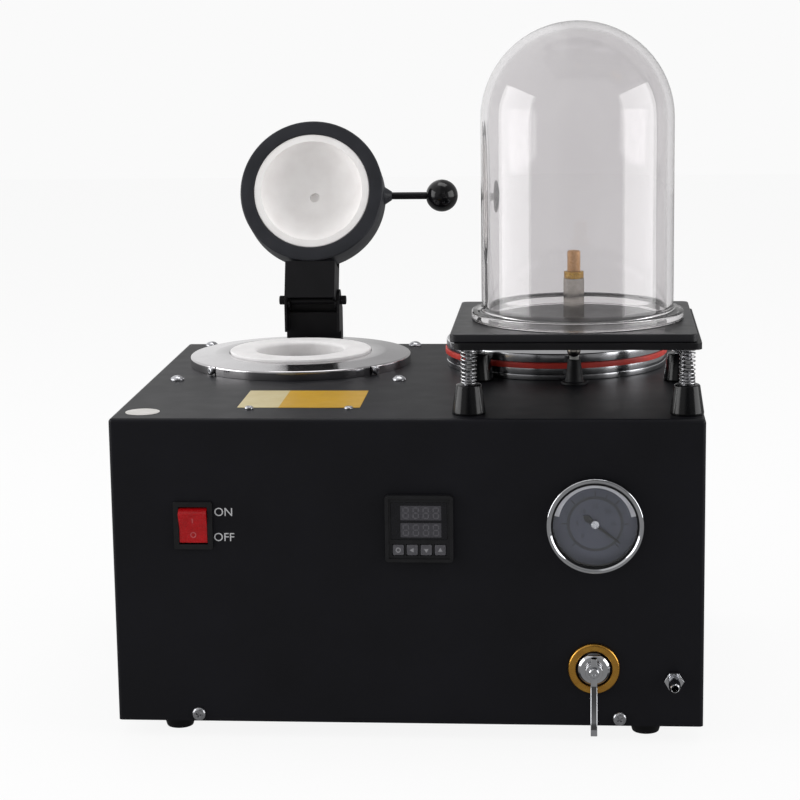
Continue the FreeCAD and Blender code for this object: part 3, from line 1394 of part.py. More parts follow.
def controller_case():
    """Moulded case: bezel on the panel, body behind it, pockets for window and keys."""
    s = CONTROL_SIZE / 2
    b = CONTROL_BODY / 2
    p = CONTROL_PROUD
    bezel = round_upright(block(-s, s, -s, s, 0, p), CONTROL_CORNER_R)
    body = block(-b, b, -b, b, -CONTROL_BODY_DEPTH, 0)
    dish = block(-s + 2.4, s - 2.4, -s + 2.4, s - 2.4, p - CONTROL_DISH, p + 1)
    w = WINDOW_W / 2
    h = WINDOW_H / 2
    window = block(-w, w, WINDOW_UP - h, WINDOW_UP + h, p - CONTROL_DISH - 1.5, p)
    cutters = [dish, window]
    kw = KEY_W / 2 + KEY_CLEAR
    kh = KEY_H / 2 + KEY_CLEAR
    depth = p - CONTROL_DISH - (KEY_T + KEY_TRAVEL + 0.3)
    for x, y in key_centres():
        cutters.append(block(x - kw, x + kw, y - kh, y + kh, depth, p))
    return on_panel(fused([bezel, body]).cut(cutters), CONTROL_X, CONTROL_Z)


def controller_window():
    """Smoked window over the two rows of figures."""
    w = WINDOW_W / 2 - 0.1
    h = WINDOW_H / 2 - 0.1
    back = CONTROL_PROUD - CONTROL_DISH - 1.5
    pane = block(-w, w, WINDOW_UP - h, WINDOW_UP + h, back, back + 1.3)
    return on_panel(pane, CONTROL_X, CONTROL_Z)


def controller_key(index):
    """Rubber key that stands proud of the key bar."""
    x, y = key_centres()[index]
    top = CONTROL_PROUD - CONTROL_DISH + KEY_PROUD - 1
    key = block(x - KEY_W / 2, x + KEY_W / 2, y - KEY_H / 2, y + KEY_H / 2, top - KEY_T, top)
    return on_panel(round_upright(key, 1.0), CONTROL_X, CONTROL_Z)


# ---- rocker switch ---------------------------------------------------------
def rocker_sweep():
    """Radius that the rocker's ends sweep about the pivot."""
    tilt = math.radians(ROCKER_TILT)
    forward = ROCKER_VALLEY + ROCKER_FACE * math.sin(tilt)
    return math.hypot(forward, ROCKER_FACE * math.cos(tilt))


def switch_body_w():
    """Outside width of the switch's body."""
    return ROCKER_W + 2 * (ROCKER_CLEAR + SWITCH_WALL)


def switch_body_h():
    """Outside height of the switch's body."""
    return 2 * (rocker_sweep() + ROCKER_CLEAR + SWITCH_WALL)


def switch_frame():
    """Switch body with its bezel, pivot pin and rear tabs."""
    half_w = switch_body_w() / 2
    half_h = switch_body_h() / 2
    lip = SWITCH_BEZEL_LIP
    bezel = block(-half_w - lip, half_w + lip, -half_h - lip, half_h + lip, 0, SWITCH_BEZEL_PROUD)
    bezel = round_upright(bezel, 1.2)
    body = block(-half_w, half_w, -half_h, half_h, -SWITCH_DEPTH, 0)
    w = SWITCH_WALL
    pocket = block(
        -half_w + w, half_w - w, -half_h + w, half_h - w, -SWITCH_DEPTH + w, SWITCH_BEZEL_PROUD + 1
    )
    pivot = V(0, 0, -ROCKER_PIVOT_BACK)
    across = V(half_w - w / 2, 0, 0)
    frame = fused([bezel, body]).cut(pocket)
    pin = rod(2 * ROCKER_PIN_R, pivot - across, pivot + across)
    tabs = []
    for i in range(SWITCH_TABS):
        y = (i - (SWITCH_TABS - 1) / 2) * SWITCH_TAB_L
        tabs.append(block(
            -SWITCH_TAB_W / 2, SWITCH_TAB_W / 2, y - SWITCH_TAB_T / 2, y + SWITCH_TAB_T / 2,
            -SWITCH_DEPTH - SWITCH_TAB_L, -SWITCH_DEPTH,
        ))
    return on_panel(fused([frame, pin] + tabs), SWITCH_X, SWITCH_Z)


def switch_rocker():
    """V-faced rocker with round ends, its lower half pressed in."""
    tilt = math.radians(ROCKER_TILT)
    up = ROCKER_FACE * math.cos(tilt)
    out = ROCKER_VALLEY + ROCKER_FACE * math.sin(tilt)
    radius = rocker_sweep()
    back = math.sqrt(radius ** 2 - ROCKER_BACK ** 2)
    half = ROCKER_W / 2
    low_end = V(-half, -up, out)
    high_end = V(-half, up, out)
    low_back = V(-half, -back, -ROCKER_BACK)
    high_back = V(-half, back, -ROCKER_BACK)
    valley = V(-half, 0, ROCKER_VALLEY)
    side = (math.atan2(up, out) + math.atan2(back, -ROCKER_BACK)) / 2
    high_mid = V(-half, radius * math.sin(side), radius * math.cos(side))
    low_mid = V(-half, -high_mid.y, high_mid.z)
    edges = [
        Part.LineSegment(valley, high_end).toShape(),
        Part.Arc(high_end, high_mid, high_back).toShape(),
        Part.LineSegment(high_back, low_back).toShape(),
        Part.Arc(low_back, low_mid, low_end).toShape(),
        Part.LineSegment(low_end, valley).toShape(),
    ]
    rocker = Part.Face(Part.Wire(edges)).extrude(V(ROCKER_W, 0, 0))
    reach = V(ROCKER_W, 0, 0)
    rocker = rocker.cut(rod(2 * (ROCKER_PIN_R + ROCKER_PIN_CLEAR), V(0, 0, 0) - reach, reach))
    rocker = spun(rocker, V(0, 0, 0), X_AXIS, ROCKER_TILT)
    return on_panel(moved(rocker, 0, 0, -ROCKER_PIVOT_BACK), SWITCH_X, SWITCH_Z)


# ---- valve and pump port ---------------------------------------------------
def valve_ring():
    """Gold-coloured escutcheon ring with a rounded outer edge."""
    r = VALVE_RING_D / 2
    bore = VALVE_RING_BORE_D / 2
    t = VALVE_RING_T
    ring = turned(
        (bore, 0), (r, 0), (r, t - 2), ((r - 0.6, t - 0.6), (r - 2, t)), (bore + 0.8, t), (bore, t - 0.8),
    )
    return on_panel(ring, VALVE_X, VALVE_Z)


def valve_body():
    """Chromed three-way valve: bonnet and neck in front, ported body behind the panel."""
    r = VALVE_BONNET_D / 2
    p = VALVE_BONNET_PROUD
    neck = p + VALVE_NECK_L
    bonnet = turned(
        (0, -SHEET - 1), (r, -SHEET - 1), (r, p - 1.6), (r - 1.6, p), (VALVE_NECK_D / 2, p),
        (VALVE_NECK_D / 2, neck), (VALVE_STEM_D / 2, neck),
        (VALVE_STEM_D / 2, neck + 2 * LEVER_GAP + LEVER_T), (0, neck + 2 * LEVER_GAP + LEVER_T),
    )
    flat = block(-r, r, r - 1, r + 3, 1, p + 1)
    back = -SHEET - 1
    body = rod(VALVE_BODY_D, V(0, 0, back - VALVE_BODY_L), V(0, 0, back))
    middle = back - VALVE_BODY_L / 2
    ports = []
    for x, y in ((-1, 0), (1, 0), (0, 1)):
        end = V(x, y, 0) * VALVE_PORT_REACH + V(0, 0, middle)
        ports.append(rod(VALVE_PORT_D, V(0, 0, middle), end))
    valve = fused([bonnet.cut(flat), body] + ports)
    return on_panel(valve, VALVE_X, VALVE_Z)


def lever_plane():
    """Back of the lever's eye, measured forward from the panel's face."""
    return VALVE_BONNET_PROUD + VALVE_NECK_L + LEVER_GAP


def valve_lever():
    """Cranked lever: round eye with a pointer tab, sloping shank and a straight tip."""
    z = lever_plane()
    t = LEVER_T
    w = LEVER_NECK_W / 2
    side = [
        (-w, 0, z), (-w, 0, z + t), (-w, -LEVER_DROP, z + t), (-w, -LEVER_KNEE, z + LEVER_OUT + t),
        (-w, -LEVER_LEN, z + LEVER_OUT + t), (-w, -LEVER_LEN, z + LEVER_OUT),
        (-w, -LEVER_KNEE, z + LEVER_OUT), (-w, -LEVER_DROP, z),
    ]
    shank = prism(side, V(LEVER_NECK_W, 0, 0))
    eye = rod(LEVER_EYE_D, V(0, 0, z), V(0, 0, z + t))
    tab_w = LEVER_TAB_W / 2
    tab = block(-tab_w, tab_w, 0, LEVER_EYE_D / 2 + LEVER_TAB_L, z, z + t)
    lever = fused([shank, eye, tab])
    bore = rod(VALVE_STEM_D + 2 * LEVER_BORE_CLEAR, V(0, 0, z - 1), V(0, 0, z + 2 * t))
    return on_panel(lever.cut(bore), VALVE_X, VALVE_Z)


def lever_nut():
    """Round slotted nut that keeps the lever on its stem."""
    z = lever_plane() + LEVER_T + LEVER_GAP
    nut = turned(
        (0, 0), (LEVER_NUT_D / 2, 0), (LEVER_NUT_D / 2, LEVER_NUT_T - 0.8),
        (LEVER_NUT_D / 2 - LEVER_NUT_BEVEL, LEVER_NUT_T), (LEVER_NUT_DIMPLE_R, LEVER_NUT_T),
        (LEVER_NUT_DIMPLE_R, LEVER_NUT_T - LEVER_NUT_DIMPLE), (0, LEVER_NUT_T - LEVER_NUT_DIMPLE),
    )
    return on_panel(moved(nut, 0, 0, z), VALVE_X, VALVE_Z)


def pump_port():
    """Hexagon fitting with a barbed tail in front and a threaded tail behind the panel."""
    root = PORT_ROOT_D / 2
    barb = PORT_BARB_D / 2
    steps = [(PORT_BORE_R, -PORT_TAIL_L), (root, -PORT_TAIL_L), (root, PORT_HEX_L)]
    z = PORT_HEX_L
    for _ in range(PORT_BARBS):
        steps += [(root, z + 1), (barb, z + 1.4), (root, z + PORT_BARB_PITCH)]
        z += PORT_BARB_PITCH
    steps += [(root - PORT_TIP * 0.6, z + PORT_TIP), (PORT_BORE_R, z + PORT_TIP)]
    stem = turned(*steps)
    flats = hexagon(PORT_HEX_AF, V(0, 0, 0), V(0, 0, PORT_HEX_L))
    flats = flats.cut(rod(2 * PORT_BORE_R, V(0, 0, 0), V(0, 0, PORT_HEX_L)))
    return on_panel(fused([stem, flats]), PORT_X, PORT_Z)


# ---- inside the housing ----------------------------------------------------
def vacuum_pipes():
    """Copper pipes that join valve, pump port, table hose, gauge and pot."""
    valve_y = FRONT_Y + SHEET + 1 + VALVE_BODY_L / 2
    reach = VALVE_PORT_REACH
    valve_top = V(VALVE_X, valve_y, VALVE_AXIS_Z + reach)
    valve_left = V(VALVE_X - reach, valve_y, VALVE_AXIS_Z)
    valve_right = V(VALVE_X + reach, valve_y, VALVE_AXIS_Z)
    pot_x, pot_z, pot_y = pot_stubs()[0]
    gauge_x, gauge_z, gauge_y = pot_stubs()[1]
    port_y = FRONT_Y + PORT_TAIL_L
    hose_z = TOP_Z - SHEET - BOOT_BELOW
    hose_x = valve_left.x - HOSE_PIPE_SIDE
    routes = [
        [
            valve_top, V(VALVE_X, valve_y, pot_z), V(pot_x, valve_y + POT_PIPE_RUN, pot_z),
            V(pot_x, pot_y, pot_z),
        ],
        [
            valve_left, V(hose_x, valve_y, VALVE_AXIS_Z),
            V(hose_x, BOOT_Y, VALVE_AXIS_Z + HOSE_PIPE_UP),
            V(BOOT_X, BOOT_Y, hose_z - HOSE_PIPE_DROP), V(BOOT_X, BOOT_Y, hose_z),
        ],
        [
            valve_right, V(PORT_X, valve_y, VALVE_AXIS_Z),
            V(PORT_X, valve_y + PORT_PIPE_RUN, BASE_Z + PORT_Z + PORT_PIPE_UP),
        ],
        [V(gauge_x, FRONT_Y + GAUGE_CASE_DEPTH + GAUGE_STEM_L, gauge_z), V(gauge_x, gauge_y, gauge_z)],
    ]
    pipes = []
    for points in routes:
        if len(points) == 2:
            pipes.append(tube(PIPE_D, PIPE_BORE_D, points[0], points[1]))
        else:
            pipes.append(pipe(points, PIPE_D, PIPE_BORE_D, PIPE_BEND_R))
    return pipes


def power_inlet():
    """Three-pin mains inlet: flange on the back panel, open socket with its pins."""
    w = INLET_W / 2
    h = INLET_H / 2
    cw = INLET_CAVITY_W / 2
    ch = INLET_CAVITY_H / 2
    flange = round_upright(block(-w, w, -h, h, 0, INLET_FLANGE_T), 3)
    wall = 1.5
    body = block(-cw - wall, cw + wall, -ch - wall, ch + wall, -INLET_DEPTH, 0)
    c = INLET_CORNER
    cavity = prism(
        [(-cw, -ch, 0), (cw, -ch, 0), (cw, ch - c, 0), (cw - c, ch, 0), (-cw + c, ch, 0), (-cw, ch - c, 0)],
        V(0, 0, INLET_CAVITY_DEPTH),
    )
    cavity = moved(cavity, 0, 0, INLET_FLANGE_T - INLET_CAVITY_DEPTH)
    floor = INLET_FLANGE_T - INLET_CAVITY_DEPTH
    pins = []
    half = INLET_PIN_PITCH / 2
    for x, y in ((-half, -INLET_PIN_DROP), (half, -INLET_PIN_DROP), (0, INLET_EARTH_UP)):
        pins.append(block(
            x - INLET_PIN_W / 2, x + INLET_PIN_W / 2, y - INLET_PIN_H / 2, y + INLET_PIN_H / 2,
            floor - 1, floor + INLET_PIN_L,
        ))
    inlet = fused([flange, body]).cut(cavity).fuse(pins).removeSplitter()
    inlet = spun(inlet, V(0, 0, 0), X_AXIS, 90)
    inlet = spun(inlet, V(0, 0, 0), Z_AXIS, 180)
    return moved(inlet, INLET_X, BACK_Y, BASE_Z + INLET_Z)


def power_relay():
    """Solid-state relay on a finned heat sink, on the pan's floor."""
    w = SINK_W / 2
    sink = [block(-w, w, -SINK_L / 2, SINK_L / 2, SINK_H - SINK_BASE, SINK_H)]
    gap = (SINK_W - SINK_FIN_T) / (SINK_FINS - 1)
    for i in range(SINK_FINS):
        x = -w + i * gap
        sink.append(block(x, x + SINK_FIN_T, -SINK_L / 2, SINK_L / 2, 0, SINK_H - SINK_BASE))
    relay = round_upright(
        block(-RELAY_W / 2, RELAY_W / 2, -RELAY_L / 2, RELAY_L / 2, SINK_H, SINK_H + RELAY_H), 3
    )
    y = FRONT_Y + RELAY_BACK
    return [moved(piece, RELAY_X, y, PAN_FLOOR_Z) for piece in (fused(sink), relay)]


# ---- every node ------------------------------------------------------------
def nodes():
    """Name and shape, or list of separate solids, of every piece."""
    made = {
        "housing_cover": housing_cover(),
        "base_pan": base_pan(),
        "back_panel": back_panel(),
        "rubber_feet": rubber_feet(),
        "housing_screws": housing_screws(),
        "small_screws": small_screws(),
        "furnace_trim": furnace_trim(),
        "furnace_collar": furnace_collar(),
        "furnace_can": furnace_can(),
        "furnace_lining": furnace_lining(),
        "muffle_tube": muffle_tube(),
        "heating_coil": heating_coil(),
        "thermocouple": thermocouple(),
        "crucible": crucible(),
        "furnace_bolts": furnace_bolts(),
        "lid_shell": lid_shell(),
        "lid_lining": lid_lining(),
        "lid_arm": lid_arm(),
        "handle_rod": handle_rod(),
        "handle_ball": handle_ball(),
        "hinge_bracket": hinge_bracket(),
        "hinge_pin": hinge_pin(),
        "chamber_seat": chamber_ring(CHAMBER_R, POT_R + POT_CLEAR, TOP_Z, SEAT_TOP_Z),
        "chamber_flange": chamber_ring(CHAMBER_R, CHAMBER_BORE_R, SEAT_TOP_Z, FLANGE_TOP_Z),
        "chamber_gasket": chamber_ring(
            CHAMBER_R + GASKET_PROUD, CHAMBER_BORE_R, FLANGE_TOP_Z, GASKET_TOP_Z
        ),
        "flask_adapter": flask_adapter(),
        "vacuum_pot": vacuum_pot(),
        "table_legs": table_legs(),
        "leg_studs": leg_studs(),
        "table_springs": table_springs(),
        "table_plate": table_plate(),
        "plate_spigots": plate_spigots(),
        "rubber_pad": rubber_pad(),
        "port_column": port_column(),
        "port_nut": port_nut(),
        "port_muffler": port_muffler(),
        "hose_boot": hose_boot(),
        "table_hose": table_hose(),
        "bell_jar": bell_jar(),
        "gauge_case": gauge_case(),
        "gauge_bezel": gauge_bezel(),
        "gauge_dial": gauge_dial(),
        "gauge_lens": gauge_lens(),
        "gauge_needle": gauge_needle(),
        "controller_case": controller_case(),
        "controller_window": controller_window(),
        "switch_frame": switch_frame(),
        "switch_rocker": switch_rocker(),
        "valve_ring": valve_ring(),
        "valve_body": valve_body(),
        "valve_lever": valve_lever(),
        "lever_nut": lever_nut(),
        "pump_port": pump_port(),
        "vacuum_pipes": vacuum_pipes(),
        "power_inlet": power_inlet(),
        "power_relay": power_relay(),
    }
    for i in range(KEY_COUNT):
        made["controller_key_" + str(i + 1)] = controller_key(i)
    return made


os.makedirs("parts", exist_ok=True)
for name, shape in nodes().items():
    if isinstance(shape, list):
        shape = Part.makeCompound(shape)
    if not shape.isValid():
        print("not valid:", name)
    shape.exportStep(os.path.join("parts", name + ".step"))
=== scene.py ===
"""Looks of a bench-top melting and vacuum casting machine for jewellery.

+Z is up, +X the operator's right and +Y the back. Sizes are written in millimetres, and a
mesh is scaled to metres as it is finished. Places come from the boxes of the CAD nodes.
"""
import json
from math import atan2, cos, hypot, pi, radians, sin, sqrt, tan, tau

import bmesh
import bpy
from mathutils import Matrix, Vector


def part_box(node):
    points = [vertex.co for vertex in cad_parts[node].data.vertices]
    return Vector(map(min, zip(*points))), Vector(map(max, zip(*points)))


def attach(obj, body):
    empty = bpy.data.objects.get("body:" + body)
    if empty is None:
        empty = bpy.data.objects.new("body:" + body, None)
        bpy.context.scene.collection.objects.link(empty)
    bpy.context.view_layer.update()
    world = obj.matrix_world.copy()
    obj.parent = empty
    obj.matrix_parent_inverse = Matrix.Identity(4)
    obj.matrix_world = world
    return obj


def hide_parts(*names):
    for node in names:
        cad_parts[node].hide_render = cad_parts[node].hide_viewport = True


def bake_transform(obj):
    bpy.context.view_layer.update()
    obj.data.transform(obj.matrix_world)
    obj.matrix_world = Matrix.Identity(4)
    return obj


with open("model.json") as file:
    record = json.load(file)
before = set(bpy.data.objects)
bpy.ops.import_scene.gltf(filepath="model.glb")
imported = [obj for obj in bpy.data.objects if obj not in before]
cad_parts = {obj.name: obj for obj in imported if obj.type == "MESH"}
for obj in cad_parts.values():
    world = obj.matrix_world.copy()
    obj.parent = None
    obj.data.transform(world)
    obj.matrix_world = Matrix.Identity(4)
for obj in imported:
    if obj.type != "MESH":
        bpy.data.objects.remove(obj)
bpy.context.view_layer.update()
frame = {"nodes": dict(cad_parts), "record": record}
record = frame["record"]
BODY = {node: body for body, nodes in record["behaviour"]["bodies"].items() for node in nodes}
SLOT = {part["node"]: part["material_slot"] for part in record["subparts"]}

MM = 0.001
NONE = Matrix.Identity(4)
UP = (0, 0, 1)
collection = bpy.context.scene.collection


# ---- places, from the CAD ---------------------------------------------------
def low(node):
    """Lowest corner of a CAD node's box, in mm."""
    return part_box(node)[0] / MM


def high(node):
    """Highest corner of a CAD node's box, in mm."""
    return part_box(node)[1] / MM


def middle(node):
    """Middle of a CAD node's box, in mm."""
    return (low(node) + high(node)) / 2


def size(node):
    """Width, depth and height of a CAD node's box, in mm."""
    return high(node) - low(node)


def over(place, z):
    """The point over or under a place at a height."""
    return Vector((place.x, place.y, z))


def front_of(node):
    """The middle of a CAD node's box, taken to the front panel."""
    return Vector((middle(node).x, FRONT, middle(node).z))


TOP = high("housing_cover").z
FRONT = low("housing_cover").y
BACK = high("back_panel").y
UNDER = low("housing_cover").z
FURNACE = over(middle("furnace_trim"), TOP)
CHAMBER = over(middle("chamber_seat"), TOP)
BOOT = over(middle("hose_boot"), TOP)
GAUGE = front_of("gauge_bezel")
VALVE = front_of("valve_ring")
PIN = middle("hinge_pin")
LID_GAP = 0.3               # left over the collar by the closed lid
LID_FACE = high("furnace_collar").z + LID_GAP
LID_OPEN = 110.0

ROUND = 1 - sqrt(0.5)  # how far a quarter round lies inside its corner

TO_FRONT = Matrix.Rotation(radians(90), 4, "X")   # a shape's top looks out of the front
TO_RIGHT = Matrix.Rotation(radians(90), 4, "Y")   # and to the right


def at(place, turn=NONE):
    """Matrix that turns a shape and then carries it to a place."""
    return Matrix.Translation(place) @ turn


def looking_out(x, y, z):
    """Matrix for a shape drawn face up: from this place it now looks to the front."""
    return at(Vector((x, y, z)), TO_FRONT)


def on_front(x, z, out=0.0):
    """The same on the front panel, or so far out of it."""
    return looking_out(x, FRONT - out, z)


OPENED = at(PIN, Matrix.Rotation(radians(-LID_OPEN), 4, "X")) @ at(-PIN)


# ---- node trees -------------------------------------------------------------
def add(tree, kind, inputs=None, **settings):
    """A new node with its settings; an input given as a socket is linked, else it is set."""
    node = tree.nodes.new(kind)
    for name, value in settings.items():
        setattr(node, name, value)
    for key, value in (inputs or {}).items():
        if isinstance(value, bpy.types.NodeSocket):
            tree.links.new(value, node.inputs[key])
        else:
            node.inputs[key].default_value = value
    return node


def made(tree, kind, inputs=None, **settings):
    """The first output of a new node."""
    return add(tree, kind, inputs, **settings).outputs[0]


def reckoned(tree, operation, *values):
    """Result of an operation on sockets or numbers."""
    return made(tree, "ShaderNodeMath", dict(enumerate(values)), operation=operation)


def between(tree, share, first, second):
    """Number that goes from the first to the second with the share."""
    return made(tree, "ShaderNodeMix", {"Factor": share, 2: first, 3: second}, data_type="FLOAT")


def mapped(tree, value, span, onto, **settings):
    """Number carried from one span onto another."""
    inputs = {"Value": value, "From Min": span[0], "From Max": span[1]}
    inputs.update({"To Min": onto[0], "To Max": onto[1]})
    return made(tree, "ShaderNodeMapRange", inputs, **settings)


def linear(hex_colour):
    """Linear RGBA of an sRGB hex colour."""
    parts = [int(hex_colour[i:i + 2], 16) / 255 for i in (1, 3, 5)]
    bent = [c / 12.92 if c <= 0.04045 else ((c + 0.055) / 1.055) ** 2.4 for c in parts]
    return (*bent, 1.0)


WAVE_UNIT = tau / 20        # a Wave texture's period at scale 1
BRUSH_STRETCH = 60.0        # length of a brushed scratch over its width
DRIFT = (0.3, 0.7)          # span of a noise that carries nearly all of its values


def pattern(tree, kind, width, centre=(0, 0, 0), axis="Z"):
    """A 0 to 1 pattern with features width mm wide, laid in the object's own millimetres."""
    place = add(tree, "ShaderNodeTexCoord").outputs["Object"]
    offset = [-c * MM for c in centre]
    place = made(tree, "ShaderNodeMapping", {"Vector": place, "Location": offset})
    scale = 1 / (width * MM)
    if kind == "turned":
        wave = {"Vector": place, "Scale": scale * WAVE_UNIT, "Detail": 0.0}
        return add(
            tree, "ShaderNodeTexWave", wave, wave_type="RINGS", rings_direction=axis
        ).outputs["Fac"]
    if kind == "grains":
        return made(tree, "ShaderNodeTexVoronoi", {"Vector": place, "Scale": scale})
    if kind == "brushed":
        stretch = [scale / BRUSH_STRETCH if axis == a else scale for a in "XYZ"]
        place = made(tree, "ShaderNodeMapping", {"Vector": place, "Scale": stretch})
        scale = 1.0
    return made(tree, "ShaderNodeTexNoise", {"Vector": place, "Scale": scale, "Detail": 3.0})


def finish(name, first, second, rough, cloud, grain=None, *kind, **sockets):
    """A material whose colour drifts over cloud mm between two hex colours and whose
    roughness drifts between two values; its grain has a width and a depth in mm, and a
    kind of pattern that is noise unless it is given, with its centre and axis."""
    material = bpy.data.materials.new(name)
    material.use_nodes = True
    tree = material.node_tree
    tree.nodes.clear()
    ramp = add(tree, "ShaderNodeValToRGB", {"Fac": pattern(tree, "noise", cloud)})
    for element, position, colour in zip(ramp.color_ramp.elements, DRIFT, (first, second)):
        element.position = position
        element.color = linear(colour)
    gloss = mapped(tree, pattern(tree, "noise", cloud / 3), DRIFT, rough)
    inputs = {"Base Color": ramp.outputs["Color"], "Roughness": gloss}
    if grain:
        width, depth = grain
        kind, *about = kind or ["noise"]
        relief = {"Height": pattern(tree, kind, width, *about), "Distance": depth * MM}
        inputs["Normal"] = made(tree, "ShaderNodeBump", {**relief, "Strength": 1.0})
    for key, value in sockets.items():
        inputs[key.replace("_", " ")] = value
    shader = made(tree, "ShaderNodeBsdfPrincipled", inputs)
    add(tree, "ShaderNodeOutputMaterial", {"Surface": shader})
    return material


# ---- finishes ---------------------------------------------------------------
# Powder-coated sheet steel: baked epoxy, fine orange peel, a soft sheen at low angles.
powder_coat = finish(
    "powder_coated_steel", "#121216", "#15151a", (0.44, 0.48), 60, (0.9, 0.005),
    Specular_IOR_Level=0.16,
)
# The same coat on the folded hinge parts: thinner, so a little smoother.
black_steel = finish(
    "black_coated_bracket_steel", "#0f0f11", "#141316", (0.4, 0.48), 20, (1.1, 0.006),
    Specular_IOR_Level=0.2,
)
# Moulded nitrile rubber: matt with a little bloom, faint mould texture.
rubber = finish(
    "moulded_black_rubber", "#0d0d10", "#141417", (0.5, 0.62), 9, (0.7, 0.02),
    Specular_IOR_Level=0.25,
)
# Calendered sheet of the pad: flatter, so it mirrors the room at a low angle.
pad_rubber = finish(
    "calendered_rubber_sheet", "#161619", "#1c1c20", (0.3, 0.36), 30, (0.9, 0.006),
    Specular_IOR_Level=0.45,
)
# The same rubber in the cones, polished by its mould: tall highlights on each side.
mould_rubber = finish(
    "polished_mould_rubber", "#08080a", "#0c0c0e", (0.14, 0.2), 6, (0.8, 0.003),
    Specular_IOR_Level=0.3,
)
# Spun and satin-polished stainless steel: fine concentric lines, soft mirror.
# The real lines are under 0.1 mm apart, so they are drawn coarser to show.
spun_stainless = finish(
    "spun_satin_stainless", "#c6c4c6", "#bbb9bb", (0.09, 0.13), 30, (0.9, 0.0012), "turned",
    FURNACE, Metallic=1.0,
)
# Zinc-plated steel of the screws and bolts: bright, slightly cloudy.
zinc = finish("zinc_plated_steel", "#c4c4c8", "#a7a8ac", (0.2, 0.34), 3, (0.6, 0.004), Metallic=1.0)
# Spring steel wire, drawn and nickel plated: bright along each coil.
spring_wire = finish(
    "plated_spring_wire", "#d0d0d2", "#a5a5a8", (0.16, 0.28), 4, (0.5, 0.003), Metallic=1.0,
)
# Cast white ceramic of the furnace's mouth: bisque, faintly speckled, dusty at its lip.
ceramic = finish("cast_white_ceramic", "#efeded", "#e4e2e2", (0.55, 0.75), 14, (0.8, 0.04))
# Vacuum-formed ceramic fibre: chalky white, with a felt of short fibres.
fibre = finish(
    "vacuum_formed_ceramic_fibre", "#f3f1f0", "#ece9e8", (0.85, 0.95), 16, (1.4, 0.016),
    Specular_IOR_Level=0.2,
)
# Mullite tube, stained by heat towards its middle.
mullite = finish("fired_mullite", "#efe8e5", "#e2d8d2", (0.6, 0.8), 25, (1.2, 0.05))
# Machined graphite: dark grey, turned, with a dull metallic sheen.
graphite = finish(
    "machined_graphite", "#2c2c2f", "#3a3a3e", (0.42, 0.6), 8, (1.0, 0.01), "turned", FURNACE,
    Metallic=0.35,
)
# Iron-chromium resistance wire, dulled and browned by heat.
element_wire = finish(
    "oxidised_resistance_wire", "#6b6259", "#8a7c6c", (0.45, 0.6), 5, Metallic=0.8,
)
# Spun cap of the lid in heat-proof black enamel: satin, a shade paler than the housing.
enamel = finish(
    "black_stove_enamel", "#26272b", "#2d2e33", (0.38, 0.46), 18, (1.0, 0.004),
    Specular_IOR_Level=0.25,
)
# Phenolic ball: compression moulded and tumbled to a deep gloss.
phenolic = finish(
    "polished_black_phenolic", "#08080a", "#0d0d0f", (0.12, 0.16), 9, (2.5, 0.004),
    Specular_IOR_Level=0.35,
)
# Turned aluminium rings of the chamber: lathe lines, bright streaks down their edges.
turned_aluminium = finish(
    "turned_aluminium", "#cfcfd2", "#c0c1c5", (0.14, 0.2), 16, (0.8, 0.0012), "turned", CHAMBER,
    Metallic=1.0,
)
# Moulded red silicone gasket: soft, slightly translucent, dull.
red_silicone = finish(
    "moulded_red_silicone", "#b3281f", "#c4362a", (0.4, 0.52), 7, (0.9, 0.01),
    Subsurface_Weight=0.15, Subsurface_Scale=0.002,
)
# Welded and pickled steel of the vacuum pot: grey and cloudy.
pot_steel = finish(
    "pickled_steel", "#8e9093", "#74767a", (0.35, 0.5), 20, (1.0, 0.01), Metallic=1.0,
)
# Nickel-plated brass fittings: warm white metal, soft mirror.
nickel = finish(
    "nickel_plated_brass", "#b9b4ad", "#a8a39c", (0.08, 0.14), 4, (0.8, 0.001), Metallic=1.0,
)
# Bare brass of the muffler's hexagon: yellow, cut bright.
brass = finish("machined_brass", "#c9a35a", "#b18a42", (0.2, 0.3), 4, (0.7, 0.004), Metallic=1.0)
# Sintered bronze cap: pressed balls of about 0.4 mm, drawn at 0.7 mm to show.
sintered_bronze = finish(
    "sintered_bronze", "#dfb488", "#c59765", (0.42, 0.6), 1.4, (0.7, 0.08), "grains", Metallic=0.6,
)
# Milky silicone hose that lets some light through.
silicone_hose = finish(
    "clear_silicone_hose", "#c9c9c6", "#b9b9b6", (0.3, 0.4), 8, (1.5, 0.01),
    Transmission_Weight=0.35, IOR=1.41,
)
# Cast clear acrylic, polished: slightly grey through its thickness, faintly wavy.
acrylic = finish(
    "polished_cast_acrylic", "#e5e3e4", "#e2e0e1", (0.0, 0.02), 60, (40.0, 0.02),
    Transmission_Weight=1.0, IOR=1.49,
)
# Chromium-plated ring, valve and port: a hard bright mirror.
chrome = finish(
    "chromium_plate", "#d6d7da", "#c9cace", (0.04, 0.09), 12, (5.0, 0.002), Metallic=1.0,
)
# Gauge dial: silk-screened blue-grey paint with a fine tooth.
dial_paint = finish("dial_screen_paint", "#484a5a", "#424453", (0.45, 0.55), 22, (0.6, 0.004))
# Black screen ink of the dial's scale and figures.
dial_ink = finish("black_screen_ink", "#121217", "#17171d", (0.4, 0.5), 2)
# Pale paint of the arc over the scale: a painted reflection of the domed glass, which catches the
# overhead light there; it is not ink on the dial.
pale_ink = finish("pale_screen_ink", "#eceaf0", "#e4e2e8", (0.4, 0.5), 9)
# Darker ink of the band inside the scale.
band_ink = finish("slate_screen_ink", "#25262f", "#2a2b35", (0.4, 0.5), 3)
# Pressed glass of the gauge: clear, with a weak mirror so that the print shows through.
glass = finish(
    "gauge_glass", "#fbfcfd", "#f6f8f9", (0.0, 0.01), 30, Transmission_Weight=1.0, IOR=1.38,
)
